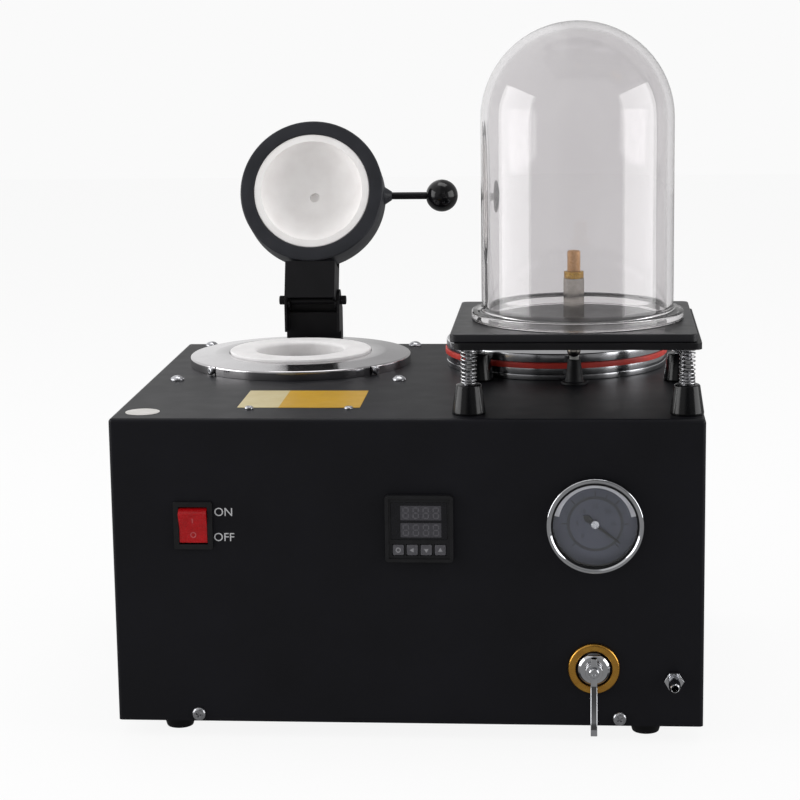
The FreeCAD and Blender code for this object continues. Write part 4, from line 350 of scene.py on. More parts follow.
# Needle: blackened brass, nearly matt.
needle_black = finish("blackened_needle_brass", "#0b0b0c", "#141416", (0.3, 0.4), 3, Metallic=0.3)
# Controller case: ABS, spark-eroded texture.
case_abs = finish(
    "textured_black_abs", "#131315", "#19191c", (0.45, 0.55), 9, (0.6, 0.02),
    Specular_IOR_Level=0.3,
)
# Smoked polycarbonate over the figures: dark and smooth.
smoked = finish(
    "smoked_polycarbonate", "#131316", "#17171a", (0.12, 0.2), 10, (4.0, 0.002),
    Specular_IOR_Level=0.3,
)
# Pane over each row of figures, paler than the smoked window round it.
figure_pane = finish("grey_figure_pane", "#38373c", "#3c3b40", (0.25, 0.32), 12)
# Unlit segments of the figures, just paler than their pane.
segment = finish("unlit_display_segment", "#4a494e", "#535257", (0.3, 0.4), 2)
# Grey silicone keys: dull, soft to the eye.
key_rubber = finish("grey_silicone_key", "#434247", "#4d4c51", (0.5, 0.6), 4, (0.7, 0.02))
# Pad-printed marks on the keys.
key_print = finish("pale_key_print", "#8a8a8d", "#7b7b7f", (0.5, 0.6), 1.5)
# Black glass-filled nylon of switch frame, gauge case and mains inlet.
nylon = finish(
    "black_moulded_nylon", "#0f0f11", "#161618", (0.36, 0.46), 7, (0.8, 0.012),
    Specular_IOR_Level=0.35,
)
# Red polycarbonate rocker: tinted through, smooth.
red_rocker = finish(
    "red_polycarbonate", "#96070d", "#a50a11", (0.24, 0.3), 8, (2.0, 0.005), Subsurface_Weight=0.2,
    Subsurface_Scale=0.003, Specular_IOR_Level=0.3,
)
# Faint hot-stamped marks on the rocker.
rocker_print = finish("worn_rocker_print", "#b9595e", "#a8464c", (0.4, 0.5), 1)
# Gold-anodised aluminium ring: warm, with the lathe's rings.
gold_anodised = finish(
    "gold_anodised_aluminium", "#e0aa4c", "#cc9444", (0.2, 0.32), 6, (0.9, 0.006), "turned", VALVE,
    "Y", Metallic=1.0,
)
# Drawn copper tube, tarnished brown in places.
copper = finish("drawn_copper", "#b5714e", "#8e5638", (0.3, 0.45), 14, (1.0, 0.004), Metallic=1.0)
# Extruded aluminium sink of the relay: pale, drawn along its length.
relay_grey = finish(
    "extruded_aluminium", "#9a9b9e", "#85868a", (0.4, 0.5), 10, (0.5, 0.01), "brushed", (0, 0, 0),
    "Y", Metallic=0.9,
)
# Galvanised sheet of the can, with its large zinc crystals.
galvanised = finish(
    "galvanised_sheet", "#a3a5a8", "#8b8d90", (0.35, 0.5), 22, (14.0, 0.01), "grains",
    Metallic=1.0,
)
# Stainless probe sheath, heat-tinted.
probe = finish("heat_tinted_probe", "#9a8f86", "#7b7572", (0.3, 0.4), 9, Metallic=1.0)
# White screen print of the panel's lettering, a little grey.
panel_print = finish("white_panel_print", "#b9b9bb", "#adadb0", (0.5, 0.6), 2)
# Printed polyester plate, yellow with a cream end: smooth film with a satin sheen.
yellow_film = finish(
    "yellow_polyester_film", "#c29405", "#cc9d0a", (0.34, 0.42), 30, Specular_IOR_Level=0.3,
)
cream_film = finish(
    "cream_polyester_film", "#cdbf92", "#c6b684", (0.34, 0.42), 20, Specular_IOR_Level=0.3,
)
# Round paper disc, grey with handling.
paper_disc = finish("pale_paper_disc", "#d7d4d1", "#cfccc8", (0.5, 0.6), 10)


# ---- meshes -----------------------------------------------------------------
def arc_points(first, through, last, parts):
    """Points after the first on the circle through three points."""
    (ax, ay), (bx, by), (cx, cy) = first, through, last
    twice = 2 * (ax * (by - cy) + bx * (cy - ay) + cx * (ay - by))
    a2, b2, c2 = ax * ax + ay * ay, bx * bx + by * by, cx * cx + cy * cy
    ux = (a2 * (by - cy) + b2 * (cy - ay) + c2 * (ay - by)) / twice
    uy = (a2 * (cx - bx) + b2 * (ax - cx) + c2 * (bx - ax)) / twice
    radius = hypot(ax - ux, ay - uy)
    start = atan2(ay - uy, ax - ux)
    to_mid = (atan2(by - uy, bx - ux) - start) % tau
    sweep = (atan2(cy - uy, cx - ux) - start) % tau
    if to_mid > sweep:
        sweep -= tau
    turns = [start + sweep * i / parts for i in range(1, parts + 1)]
    return [(ux + radius * cos(t), uy + radius * sin(t)) for t in turns]


CORNER_PARTS = 5
ARC_PARTS = 16


def outline(*steps):
    """Closed (radius, height) profile. A step is a point, a point with a corner radius, or
    (through, end) for an arc."""
    points = []
    for step in steps:
        if isinstance(step[0], tuple):
            points += [(x, y, 0) for x, y in arc_points(points[-1][:2], *step, ARC_PARTS)]
        else:
            points.append((*step, 0)[:3])
    rounded = []
    for i, (x, y, corner) in enumerate(points):
        if not corner:
            rounded.append((x, y))
            continue
        here = Vector((x, y))
        back = (Vector(points[i - 1][:2]) - here).normalized()
        onward = (Vector(points[(i + 1) % len(points)][:2]) - here).normalized()
        half = back.angle(onward) / 2
        start = here + back * corner / tan(half)
        end = here + onward * corner / tan(half)
        crest = here + (back + onward).normalized() * (corner / sin(half) - corner)
        rounded.append(tuple(start))
        rounded += arc_points(tuple(start), tuple(crest), tuple(end), CORNER_PARTS)
    return rounded


def turned(*steps, sides=96):
    """Solid of revolution about Z from an outline; a point on the axis becomes a pole."""
    form = bmesh.new()
    rings = []
    for r, z in outline(*steps):
        turns = [tau * i / sides for i in range(1 if r < 1e-6 else sides)]
        rings.append([form.verts.new((r * cos(t), r * sin(t), z)) for t in turns])
    for a, b in zip(rings, rings[1:] + rings[:1]):
        for i in range(sides):
            ring = [a[i % len(a)], a[(i + 1) % len(a)], b[(i + 1) % len(b)], b[i % len(b)]]
            corners = list(dict.fromkeys(ring))
            if len(corners) > 2:
                form.faces.new(corners)
    return form


def slab(points, thickness):
    """Flat plate with the given (x, y) outline, from 0 up to its thickness."""
    form = bmesh.new()
    face = form.faces.new([form.verts.new((x, y, 0)) for x, y in points])
    pushed = bmesh.ops.extrude_face_region(form, geom=[face])["geom"]
    lifted = [v for v in pushed if isinstance(v, bmesh.types.BMVert)]
    bmesh.ops.translate(form, verts=lifted, vec=(0, 0, thickness))
    return form


def rectangle(width, depth, corner=0.0, x=0.0, y=0.0):
    """Outline of a rectangle round (x, y), its corners rounded."""
    if not corner:
        signs = ((-1, -1), (1, -1), (1, 1), (-1, 1))
        return [(x + sx * width / 2, y + sy * depth / 2) for sx, sy in signs]
    points = []
    for i, (sx, sy) in enumerate(((1, 1), (-1, 1), (-1, -1), (1, -1))):
        cx, cy = x + sx * (width / 2 - corner), y + sy * (depth / 2 - corner)
        for k in range(CORNER_PARTS + 1):
            angle = pi / 2 * (i + k / CORNER_PARTS)
            points.append((cx + corner * cos(angle), cy + corner * sin(angle)))
    return points


def closed(name, form, crease):
    """Mesh of a form, smooth but for edges over crease degrees; the form goes."""
    mesh = bpy.data.meshes.new(name)
    form.to_mesh(mesh)
    form.free()
    mesh.shade_smooth()
    mesh.set_sharp_from_angle(angle=radians(crease))
    return mesh


def mesh_of(form, place=NONE, crease=35.0):
    """Finished mesh in metres: merged, set in its place and outward."""
    bmesh.ops.remove_doubles(form, verts=form.verts, dist=1e-4)
    bmesh.ops.recalc_face_normals(form, faces=form.faces)
    form.transform(Matrix.Scale(MM, 4) @ place)
    return closed("finished", form, crease)


def joined(meshes):
    """Several meshes as one."""
    form = bmesh.new()
    for mesh in meshes:
        form.from_mesh(mesh)
    whole = bpy.data.meshes.new("joined")
    form.to_mesh(whole)
    form.free()
    return whole


def settled(thing):
    """The plain mesh that an object's modifiers give; the object goes."""
    evaluated = thing.evaluated_get(bpy.context.evaluated_depsgraph_get())
    mesh = bpy.data.meshes.new_from_object(evaluated)
    bpy.data.objects.remove(thing)
    return mesh


def thing_of(name, mesh):
    """An object in the scene that holds a mesh."""
    thing = bpy.data.objects.new(name, mesh)
    collection.objects.link(thing)
    return thing


def piece(name, mesh, material, node=None, body="housing", slot=None):
    """A finished piece; one that stands for a CAD node rides on that node's body and hides that
    node.
    Its material slot is looked up but not given to it."""
    if not mesh.materials:
        mesh.materials.append(material)
    thing = thing_of(name, mesh)
    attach(thing, BODY.get(node, body))
    slot = slot or SLOT.get(node)
    if node:
        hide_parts(node)


def lathed(name, steps, place, material, node=None, sides=128, **riding):
    """A piece turned from an outline and set in its place."""
    piece(name, mesh_of(turned(*steps, sides=sides), place), material, node, **riding)


def cut_from(mesh, cutter):
    """The mesh with another mesh taken out of it."""
    whole = thing_of("whole", mesh)
    tool = thing_of("tool", cutter)
    boolean = whole.modifiers.new("cut", "BOOLEAN")
    boolean.object = tool
    boolean.operation = "DIFFERENCE"
    boolean.solver = "EXACT"
    result = settled(whole)
    bpy.data.objects.remove(tool)
    return result


def cad_mesh(node, crease, flatten=False):
    """A CAD node's own faces, merged and smooth."""
    source = frame["nodes"][node].data
    form = bmesh.new()
    corners = [form.verts.new(v.co) for v in source.vertices]
    for face in source.polygons:
        form.faces.new([corners[i] for i in face.vertices])
    bmesh.ops.remove_doubles(form, verts=form.verts, dist=2e-6)
    if flatten:
        bmesh.ops.dissolve_limit(
            form, angle_limit=radians(1), verts=form.verts, edges=form.edges
        )
    return closed(node + "_smooth", form, crease)


CREASE = 32.0
EDGE_PARTS = 2


def dressed(node, material, edge=0.0, slot=None):
    """A smooth copy of a CAD node stands for it; edge mm of every sharp edge is broken, so
    that it catches the light."""
    whole = thing_of(node + "_smooth", cad_mesh(node, CREASE, flatten=edge > 0))
    if edge:
        bevel = whole.modifiers.new("edge", "BEVEL")
        bevel.width = edge * MM
        bevel.segments = EDGE_PARTS
        bevel.limit_method = "ANGLE"
        bevel.angle_limit = radians(CREASE)
        bevel.use_clamp_overlap = True
    weighted = whole.modifiers.new("faces", "WEIGHTED_NORMAL")
    weighted.mode = "FACE_AREA_WITH_ANGLE"
    weighted.keep_sharp = True
    piece(node + "_skin", settled(whole), material, node, slot=slot)


# ---- node trees that repeat a shape ------------------------------------------
def geometry_tree(name, **inputs):
    """An empty geometry tree with named inputs, and those inputs' sockets."""
    tree = bpy.data.node_groups.new(name, "GeometryNodeTree")
    for label, kind in {"Geometry": "Geometry", **inputs}.items():
        tree.interface.new_socket(
            label.replace("_", " "), in_out="INPUT", socket_type="NodeSocket" + kind
        )
    tree.interface.new_socket("Geometry", in_out="OUTPUT", socket_type="NodeSocketGeometry")
    return tree, add(tree, "NodeGroupInput").outputs


def set_on_points(tree, given, points, part, **settings):
    """Ends a tree: a part on each point as real meshes, then their material."""
    placed = {"Points": points, "Instance": part, **settings}
    placed = made(tree, "GeometryNodeInstanceOnPoints", placed)
    real = made(tree, "GeometryNodeRealizeInstances", {"Geometry": placed})
    painted = {"Geometry": real, "Material": given["Material"]}
    add(tree, "NodeGroupOutput", {"Geometry": made(tree, "GeometryNodeSetMaterial", painted)})
    return tree


def repeat_tree():
    """One part set on every point, its top along the point's facing, turned at random."""
    tree, given = geometry_tree(
        "repeat_part", Part="Object", Loose_turn="Float", Seed="Int", Material="Material"
    )
    part = add(tree, "GeometryNodeObjectInfo", {"Object": given["Part"]}).outputs["Geometry"]
    facing = add(
        tree, "GeometryNodeInputNamedAttribute", {"Name": "facing"}, data_type="FLOAT_VECTOR"
    ).outputs["Attribute"]
    aimed = made(tree, "FunctionNodeAlignRotationToVector", {"Vector": facing}, axis="Z")
    turn = {"Max": given["Loose turn"], "Seed": given["Seed"]}
    turn = add(tree, "FunctionNodeRandomValue", turn, data_type="FLOAT")
    amount = [out for out in turn.outputs if out.type == "VALUE"][0]
    spin = made(tree, "FunctionNodeAxisAngleToRotation", {"Axis": UP, "Angle": amount})
    rotation = made(
        tree, "FunctionNodeRotateRotation", {"Rotation": aimed, "Rotate By": spin},
        rotation_space="LOCAL",
    )
    points = made(tree, "GeometryNodeMeshToPoints", {"Mesh": given["Geometry"]})
    return set_on_points(tree, given, points, part, Rotation=rotation)


SPRING_STEPS = 16
WIRE_SIDES = 10


def coil_tree():
    """A wound wire on every point: its end turns lie closer than the rest."""
    tree, given = geometry_tree(
        "wound_wire", Coil_radius="Float", Wire_radius="Float", Height="Float",
        Turns="Float", Closed_ends="Float", Material="Material",
    )
    coil, height = given["Coil radius"], given["Height"]
    spiral = made(
        tree, "GeometryNodeCurveSpiral",
        {"Resolution": SPRING_STEPS, "Rotations": given["Turns"], "Height": height,
         "Start Radius": coil, "End Radius": coil},
    )
    along = made(tree, "GeometryNodeInputPosition")
    along = add(tree, "ShaderNodeSeparateXYZ", {"Vector": along}).outputs
    share = reckoned(tree, "DIVIDE", along["Z"], height)
    eased = mapped(tree, share, (0, 1), (0, 1), interpolation_type="SMOOTHSTEP")
    share = between(tree, given["Closed ends"], share, eased)
    z = reckoned(tree, "MULTIPLY", share, height)
    moved = made(tree, "ShaderNodeCombineXYZ", {"X": along["X"], "Y": along["Y"], "Z": z})
    eased = made(tree, "GeometryNodeSetPosition", {"Geometry": spiral, "Position": moved})
    section = made(
        tree, "GeometryNodeCurvePrimitiveCircle",
        {"Resolution": WIRE_SIDES, "Radius": given["Wire radius"]},
    )
    wire = {"Curve": eased, "Profile Curve": section, "Fill Caps": True}
    wire = made(tree, "GeometryNodeCurveToMesh", wire)
    smooth = made(tree, "GeometryNodeSetShadeSmooth", {"Geometry": wire})
    points = made(tree, "GeometryNodeMeshToPoints", {"Mesh": given["Geometry"]})
    return set_on_points(tree, given, points, smooth)


def scale_tree():
    """Bars round an arc in the XY plane, each pointing at the middle."""
    tree, given = geometry_tree(
        "dial_scale", Count="Int", Radius="Float", Length="Float", Width="Float",
        Thickness="Float", First_angle="Float", Sweep="Float", Material="Material",
    )
    gaps = reckoned(tree, "SUBTRACT", given["Count"], 1.0)
    share = reckoned(tree, "DIVIDE", made(tree, "GeometryNodeInputIndex"), gaps)
    angle = reckoned(tree, "MULTIPLY_ADD", share, given["Sweep"], given["First angle"])
    reach = made(tree, "ShaderNodeCombineXYZ", {"X": given["Radius"]})
    spin = made(tree, "FunctionNodeAxisAngleToRotation", {"Axis": UP, "Angle": angle})
    spot = made(tree, "FunctionNodeRotateVector", {"Vector": reach, "Rotation": spin})
    points = made(tree, "GeometryNodePoints", {"Count": given["Count"], "Position": spot})
    bar = {"X": given["Length"], "Y": given["Width"], "Z": given["Thickness"]}
    bar = made(tree, "GeometryNodeMeshCube", {"Size": made(tree, "ShaderNodeCombineXYZ", bar)})
    return set_on_points(tree, given, points, bar, Rotation=spin)


REPEAT = repeat_tree()
COIL = coil_tree()
SCALE = scale_tree()


def grown(tree, base, **inputs):
    """The plain mesh that a tree makes from a base mesh."""
    maker = thing_of("maker", base)
    modifier = maker.modifiers.new("grow", "NODES")
    modifier.node_group = tree
    for item in tree.interface.items_tree:
        key = item.name.replace(" ", "_")
        if item.in_out == "INPUT" and key in inputs:
            modifier[item.identifier] = inputs[key]
    return settled(maker)


def points_mesh(spots):
    """Loose points in metres from (place in mm, facing) pairs."""
    mesh = bpy.data.meshes.new("spots")
    mesh.from_pydata([place * MM for place, facing in spots], [], [])
    aims = mesh.attributes.new("facing", "FLOAT_VECTOR", "POINT")
    aims.data.foreach_set("vector", [c for place, facing in spots for c in facing])
    return mesh


def repeated(form, spots, material, loose=0.0, seed=1):
    """One mesh with a shape set on each (place, facing) pair."""
    part = thing_of("part", mesh_of(form))
    mesh = grown(
        REPEAT, points_mesh(spots), Part=part, Loose_turn=loose, Seed=seed, Material=material
    )
    bpy.data.objects.remove(part)
    return mesh


def wound(spots, coil_r, wire_r, height, turns, closed_ends, material):
    """A coil of wire in mm standing on each spot."""
    return grown(
        COIL, points_mesh(spots), Coil_radius=coil_r * MM, Wire_radius=wire_r * MM,
        Height=height * MM, Turns=turns, Closed_ends=closed_ends, Material=material,
    )


# ---- housing -----------------------------------------------------------------
FOOT_INSET = 13.0                                   # of an axis inside the feet's box
EDGE_SCREW_ASIDE, EDGE_SCREW_UP = 151.0, 5.5        # in the front and the back
SIDE_SCREW_IN, SIDE_SCREWS_UP = 8.0, (40.0, 180.0)  # from the back, over the edge
ARM_SCREW_ASIDE, ARM_SCREWS_DOWN = 12.0, (14.0, 50.0)
ARM_SHEET = 1.5


def corner_spots(node, inset_x, inset_y, z):
    """(place, up) of the four like parts in a node, from the corners of its box."""
    lo, hi = low(node), high(node)
    return [
        (Vector((x, y, z)), UP)
        for x in (lo.x + inset_x, hi.x - inset_x) for y in (lo.y + inset_y, hi.y - inset_y)
    ]


def housing():
    """Folded cover, pan, back panel, feet, screws and the parts inside."""
    for node in ("housing_cover", "base_pan", "back_panel"):
        dressed(node, powder_coat)
    dressed("power_inlet", nylon, edge=0.35)
    dressed("vacuum_pipes", copper)
    dressed("power_relay", relay_grey, edge=0.4)
    spots = corner_spots("rubber_feet", FOOT_INSET, FOOT_INSET, 0)
    foot = turned(
        (2.7, 5), (6, 5), (6, 0, 0.6), (9.5, 0, 1.2), (13, UNDER, 0.6), (2.7, UNDER), sides=48
    )
    feet = repeated(foot, spots, rubber)
    piece("rubber_feet_skin", feet, rubber, "rubber_feet")
    in_feet = [(Vector((s.x, s.y, 5.0)), (0, 0, -1)) for s, facing in spots]
    screws = repeated(
        cross_screw(10.0, 3.0, 5.0, 6.0), housing_screw_spots() + in_feet, zinc,
        loose=tau, seed=4,
    )
    piece("housing_screw_heads", screws, zinc, "housing_screws")


def housing_screw_spots():
    """(place, facing) of the screws in the cover, the back panel and the bracket."""
    spots = []
    half = size("housing_cover").x / 2
    for x in (-EDGE_SCREW_ASIDE, EDGE_SCREW_ASIDE):
        for y, facing in ((FRONT, (0, -1, 0)), (BACK, (0, 1, 0))):
            spots.append((Vector((x, y, UNDER + EDGE_SCREW_UP)), facing))
    for side in (-1, 1):
        for z in SIDE_SCREWS_UP:
            spots.append((Vector((side * half, BACK - SIDE_SCREW_IN, UNDER + z)), (side, 0, 0)))
    for x in (-ARM_SCREW_ASIDE, ARM_SCREW_ASIDE):
        for drop in ARM_SCREWS_DOWN:
            spots.append((Vector((PIN.x + x, BACK + ARM_SHEET, TOP - drop)), (0, 1, 0)))
    return spots


def cross_screw(width, height, shank, length):
    """Pan head with a pressed cross recess, and its shank."""
    edge = width / 2
    recess = 0.62 * edge
    head = mesh_of(turned(
        (0, -length), (shank / 2, -length, 0.4), (shank / 2, 0), (edge, 0, 0.3),
        (edge, height * 0.4), ((edge * 0.8, height * 0.86), (edge * 0.42, height)),
        (0, height), sides=32,
    ))
    for turn in (0, pi / 2):
        arm = slab(rectangle(2 * recess, recess * 0.34), height)
        bmesh.ops.recalc_face_normals(arm, faces=arm.faces)
        for v in arm.verts:
            if v.co.z < height / 2:
                v.co.x *= 0.55
                v.co.z = height * 0.38
            v.co = Matrix.Rotation(turn, 3, "Z") @ v.co
            v.co.z += 0.01 if v.co.z > height / 2 else 0
        head = cut_from(head, mesh_of(arm))
    form = bmesh.new()
    form.from_mesh(head)
    form.transform(Matrix.Scale(1 / MM, 4))
    return form


# ---- furnace -----------------------------------------------------------------
TRIM_SCREW_ANGLES = (225, 318, 135, 45)
TRIM_SCREW_UP = 3.6
NOTCH = (1.8, 7.2, 8.0)                 # width along the skirt, depth and height
NOTCH_ASIDE = 4.8
LABEL_X, LABEL_SCREW_Y, LABEL_SCREW_ASIDE = -78.5, FRONT + 37.0, 36.0
BOLT_INSET = (5.54, 5.25)
COIL_R, COIL_WIRE_R, COIL_TURNS = 44.5, 1.6, 7.0


def outward(degrees):
    """Level direction at an angle."""
    return Vector((cos(radians(degrees)), sin(radians(degrees)), 0))


def skirt_notch(radius, degrees):
    """Cutter of the gap beside a trim screw, where the skirt's band ends."""
    out = outward(degrees)
    side = out.cross(Vector(UP))
    beside = -NOTCH_ASIDE if out.x < 0 else NOTCH_ASIDE
    angle = atan2(out.y, out.x) + pi / 2
    place = over(FURNACE, TOP - 1) + out * radius + side * beside
    width, depth, height = NOTCH
    box = slab(rectangle(width, depth), height)
    return mesh_of(box, at(place, Matrix.Rotation(angle, 4, "Z")))


def furnace():
    """Trim, collar, bolts and what hangs under them, with the crucible."""
    r, h, inner = size("furnace_trim").x / 2, size("furnace_trim").z, 57.0
    thick, edge, crown, crown_w = 1.2, 1.6, 1.7, 20.0
    start, brow = r - crown_w, h - crown
    shell = mesh_of(turned(
        (r, 0, 0.25), (r, brow - edge),
        ((r - edge * ROUND, brow - edge * ROUND), (r - edge, brow)),
        (start, h, 30.0), (inner, h, 0.5), (inner, h - 3 * thick),
        (inner + thick, h - 3 * thick), (inner + thick, h - thick), (start, h - thick),
        (r - thick - edge, brow - thick), (r - thick, brow - thick - edge), (r - thick, 0),
        sides=192,
    ), at(FURNACE))
    for degrees in TRIM_SCREW_ANGLES[:2]:
        shell = cut_from(shell, skirt_notch(r, degrees))
    shell.shade_smooth()
    shell.set_sharp_from_angle(angle=radians(40))
    piece("trim_ring", shell, spun_stainless, "furnace_trim")

    well, rim, tall = 35.0, size("furnace_collar").x / 2, size("furnace_collar").z
    lathed(
        "ceramic_collar", ((well, 0), (rim, 0), (rim, tall, 1.0), (well, tall, 3.0)),
        at(over(FURNACE, low("furnace_collar").z)), ceramic, "furnace_collar",
    )
    dome = turned(
        (0, -12), (3, -12, 0.5), (3, 0), (5.25, 0, 0.2), (5.25, 0.9),
        ((3.1, 2.95), (0, 3.6)), sides=40,
    )
    spots = corner_spots("furnace_bolts", *BOLT_INSET, TOP)
    bolts = repeated(dome, spots, zinc, loose=tau, seed=2)
    piece("furnace_dome_bolts", bolts, zinc, "furnace_bolts", slot="bright_steel")

    small = cross_screw(6.4, 2.2, 3.0, 5.0)
    spots = []
    for degrees in TRIM_SCREW_ANGLES:
        out = outward(degrees)
        spots.append((over(FURNACE, TOP + TRIM_SCREW_UP) + out * r, tuple(out)))
    for x in (-LABEL_SCREW_ASIDE, LABEL_SCREW_ASIDE):
        spots.append((Vector((LABEL_X + x, LABEL_SCREW_Y, TOP)), UP))
    screws = repeated(small, spots, zinc, loose=tau, seed=7)
    piece("small_screw_heads", screws, zinc, "small_screws")

    dressed("furnace_can", galvanised)
    dressed("furnace_lining", fibre)
    dressed("muffle_tube", mullite)
    dressed("thermocouple", probe)
    dressed("crucible", graphite)
    bottom, top = low("heating_coil").z, high("heating_coil").z
    coil = wound(
        [(over(FURNACE, bottom + COIL_WIRE_R), UP)], COIL_R, COIL_WIRE_R,
        top - bottom - 2 * COIL_WIRE_R, COIL_TURNS, 0.0, element_wire,
    )
    piece("heating_element", coil, element_wire, "heating_coil")


# ---- lid ---------------------------------------------------------------------
CAP_R, CAP_H, CAP_CORNER, CAP_WALL = 60.0, 34.0, 5.0, 1.6
LINING_R, LINING_GAP, LINING_LIP = 48.5, 0.3, 0.8
CUP_R, CUP_DEEP, SIGHT_R = 42.5, 24.8, 4.0
HANDLE_UP, HANDLE_REACH, BALL = 20.0, 108.0, 27.0
BOWL_KNEE = (35.2, 0.62)                # radius, and share of the cup's depth
ROD_R, ROD_SUNK = 3.0, 3.0              # into the cap's wall
ARM_REACH, ARM_UNDER, ARM_TAIL, ARM_THICK = 30.8, 12.6, 8.0, 2.0
WEB_BEHIND = 3.0                        # the pin
STOP_H, STOP_DOWN, STOP_BEHIND = 26.0, 16.5, 12.3
PIN_R, PIN_HEAD_R, PIN_HEAD = 3.0, 3.8, 5.0


def beside_lid(x):
    """Matrix of a shape that points to the right, x from the axis of the lid, and opens."""
    return OPENED @ at(Vector((FURNACE.x + x, FURNACE.y, LID_FACE + HANDLE_UP)), TO_RIGHT)


def lid():
    """Enamelled cap, fibre lining, arm, handle and hinge, as they stand open."""
    axis = OPENED @ at(over(FURNACE, LID_FACE))
    rim, under = LINING_R + LINING_GAP, CAP_H - CAP_WALL
    cap = mesh_of(turned(
        (rim, 0, 0.4), (CAP_R, 0, 1.5), (CAP_R, CAP_H, CAP_CORNER), (0, CAP_H), (0, under),
        (rim, under), sides=160,
    ), axis)
    boss = mesh_of(turned(
        (3.0, -3), (7.3, -3), (7.5, 0, 0.3), (3.6, 6, 0.8), (3.0, 6), sides=48
    ), beside_lid(CAP_R))
    piece("lid_cap", joined([cap, boss]), enamel, "lid_shell")
    knee_r, knee = BOWL_KNEE
    knee = LINING_LIP + (CUP_DEEP - LINING_LIP) * knee
    lathed("lid_fibre_lining", (
        (0, CUP_DEEP + 4), (SIGHT_R, CUP_DEEP + 4), (SIGHT_R, CUP_DEEP, 0.6),
        (17.0, CUP_DEEP - 0.6), ((knee_r, knee), (CUP_R, LINING_LIP)),
        (LINING_R, LINING_LIP, 0.8), (LINING_R, under - LINING_GAP), (0, under - LINING_GAP),
    ), axis, fibre, "lid_lining")

    half = BALL / 2
    length = HANDLE_REACH - CAP_R - half + 12
    lathed(
        "handle_rod_skin", ((0, 0), (ROD_R, 0, 0.3), (ROD_R, length, 0.3), (0, length)),
        beside_lid(CAP_R - ROD_SUNK), black_steel, "handle_rod", sides=40,
    )
    lathed("handle_ball_skin", (
        (0, -half + 9), (3.05, -half + 9), (3.05, -half + 0.8, 0.3), (4.6, -half + 0.8, 0.5),
        ((half, 0), (0, half)),
    ), beside_lid(HANDLE_REACH), phenolic, "handle_ball", sides=96)
    dressed("lid_arm", black_steel, edge=0.35)
    dressed("hinge_bracket", black_steel, edge=0.35)
    half, under, t = size("lid_arm").x / 2, TOP + ARM_UNDER - PIN.z, ARM_THICK
    web = mesh_of(slab((
        (-half, under), (half, under), (half, -ARM_TAIL), (half - t, -ARM_TAIL),
        (half - t, under + t), (t - half, under + t), (t - half, -ARM_TAIL), (-half, -ARM_TAIL),
    ), ARM_REACH), OPENED @ looking_out(PIN.x, PIN.y + WEB_BEHIND, PIN.z))
    piece("arm_front_web", web, black_steel, body="lid")
    width = size("hinge_bracket").x - 0.4
    stop = slab(rectangle(width, STOP_H, 1.0, 0, -STOP_DOWN), ARM_SHEET)
    stop = mesh_of(stop, looking_out(PIN.x, PIN.y + STOP_BEHIND, PIN.z))
    piece("hinge_stop_plate", stop, black_steel)
    half, r, head = size("hinge_pin").x / 2, PIN_R, PIN_HEAD_R
    neck = half - PIN_HEAD
    lathed("hinge_pin_skin", (
        (0, -half), (head, -half, 0.8), (head, -neck, 0.3), (r, -neck), (r, neck),
        (head, neck, 0.3), (head, half, 0.8), (0, half),
    ), at(PIN, TO_RIGHT), black_steel, "hinge_pin", slot="black_steel", sides=40)


# ---- casting chamber ---------------------------------------------------------
SEAT_BORE, FLANGE_BORE = 60.4, 52.0
GASKET_LAP, GASKET_LIP = 0.6, 0.95          # over the rings' edges, and its thickness there
ADAPTER_BORE, FLASK_SEAT_R, FLASK_SEAT_DEEP = 47.0, 56.0, 2.0


def chamber_ring(name, steps, material, node):
    """A ring on the chamber's axis, in the place of its node."""
    lathed(name, steps, at(over(CHAMBER, low(node).z)), material, node, sides=192)


def chamber():
    """Ground rings, red gasket and lift-off adapter over the pot."""
    for node, bore in (("chamber_seat", SEAT_BORE), ("chamber_flange", FLANGE_BORE)):
        outer, tall = size(node).x / 2, size(node).z
        steps = ((bore, 0, 0.3), (outer, 0, 0.6), (outer, tall, 0.6), (bore, tall, 0.3))
        chamber_ring(node + "_ring", steps, turned_aluminium, node)
    outer, tall = size("chamber_gasket").x / 2, size("chamber_gasket").z
    inner, lap = outer - GASKET_LIP, GASKET_LAP
    chamber_ring("chamber_gasket_ring", (
        (FLANGE_BORE, 0), (inner, 0), (inner, -lap), (outer, -lap, 0.4),
        (outer, tall + lap, 0.4), (inner, tall + lap), (inner, tall), (FLANGE_BORE, tall),
    ), red_silicone, "chamber_gasket")
    outer, tall = size("flask_adapter").x / 2, size("flask_adapter").z
    seat = tall - FLASK_SEAT_DEEP
    chamber_ring("flask_adapter_ring", (
        (ADAPTER_BORE, 0, 0.4), (outer, 0, 1.0), (outer, tall, 1.0), (FLASK_SEAT_R, tall, 0.4),
        (FLASK_SEAT_R, seat, 0.2), (ADAPTER_BORE, seat, 0.5),
    ), turned_aluminium, "flask_adapter")
    dressed("vacuum_pot", pot_steel)


# ---- investing table ---------------------------------------------------------
LEG_INSET = 12.0
LEG_TOP = high("table_legs").z
PLATE_UNDER = low("table_plate").z
SPRING_OUTER, SPRING_WIRE, SPRING_TURNS, SPRING_CLOSED = 11.5, 1.4, 10.0, 0.35
BOOT_TALL = 19


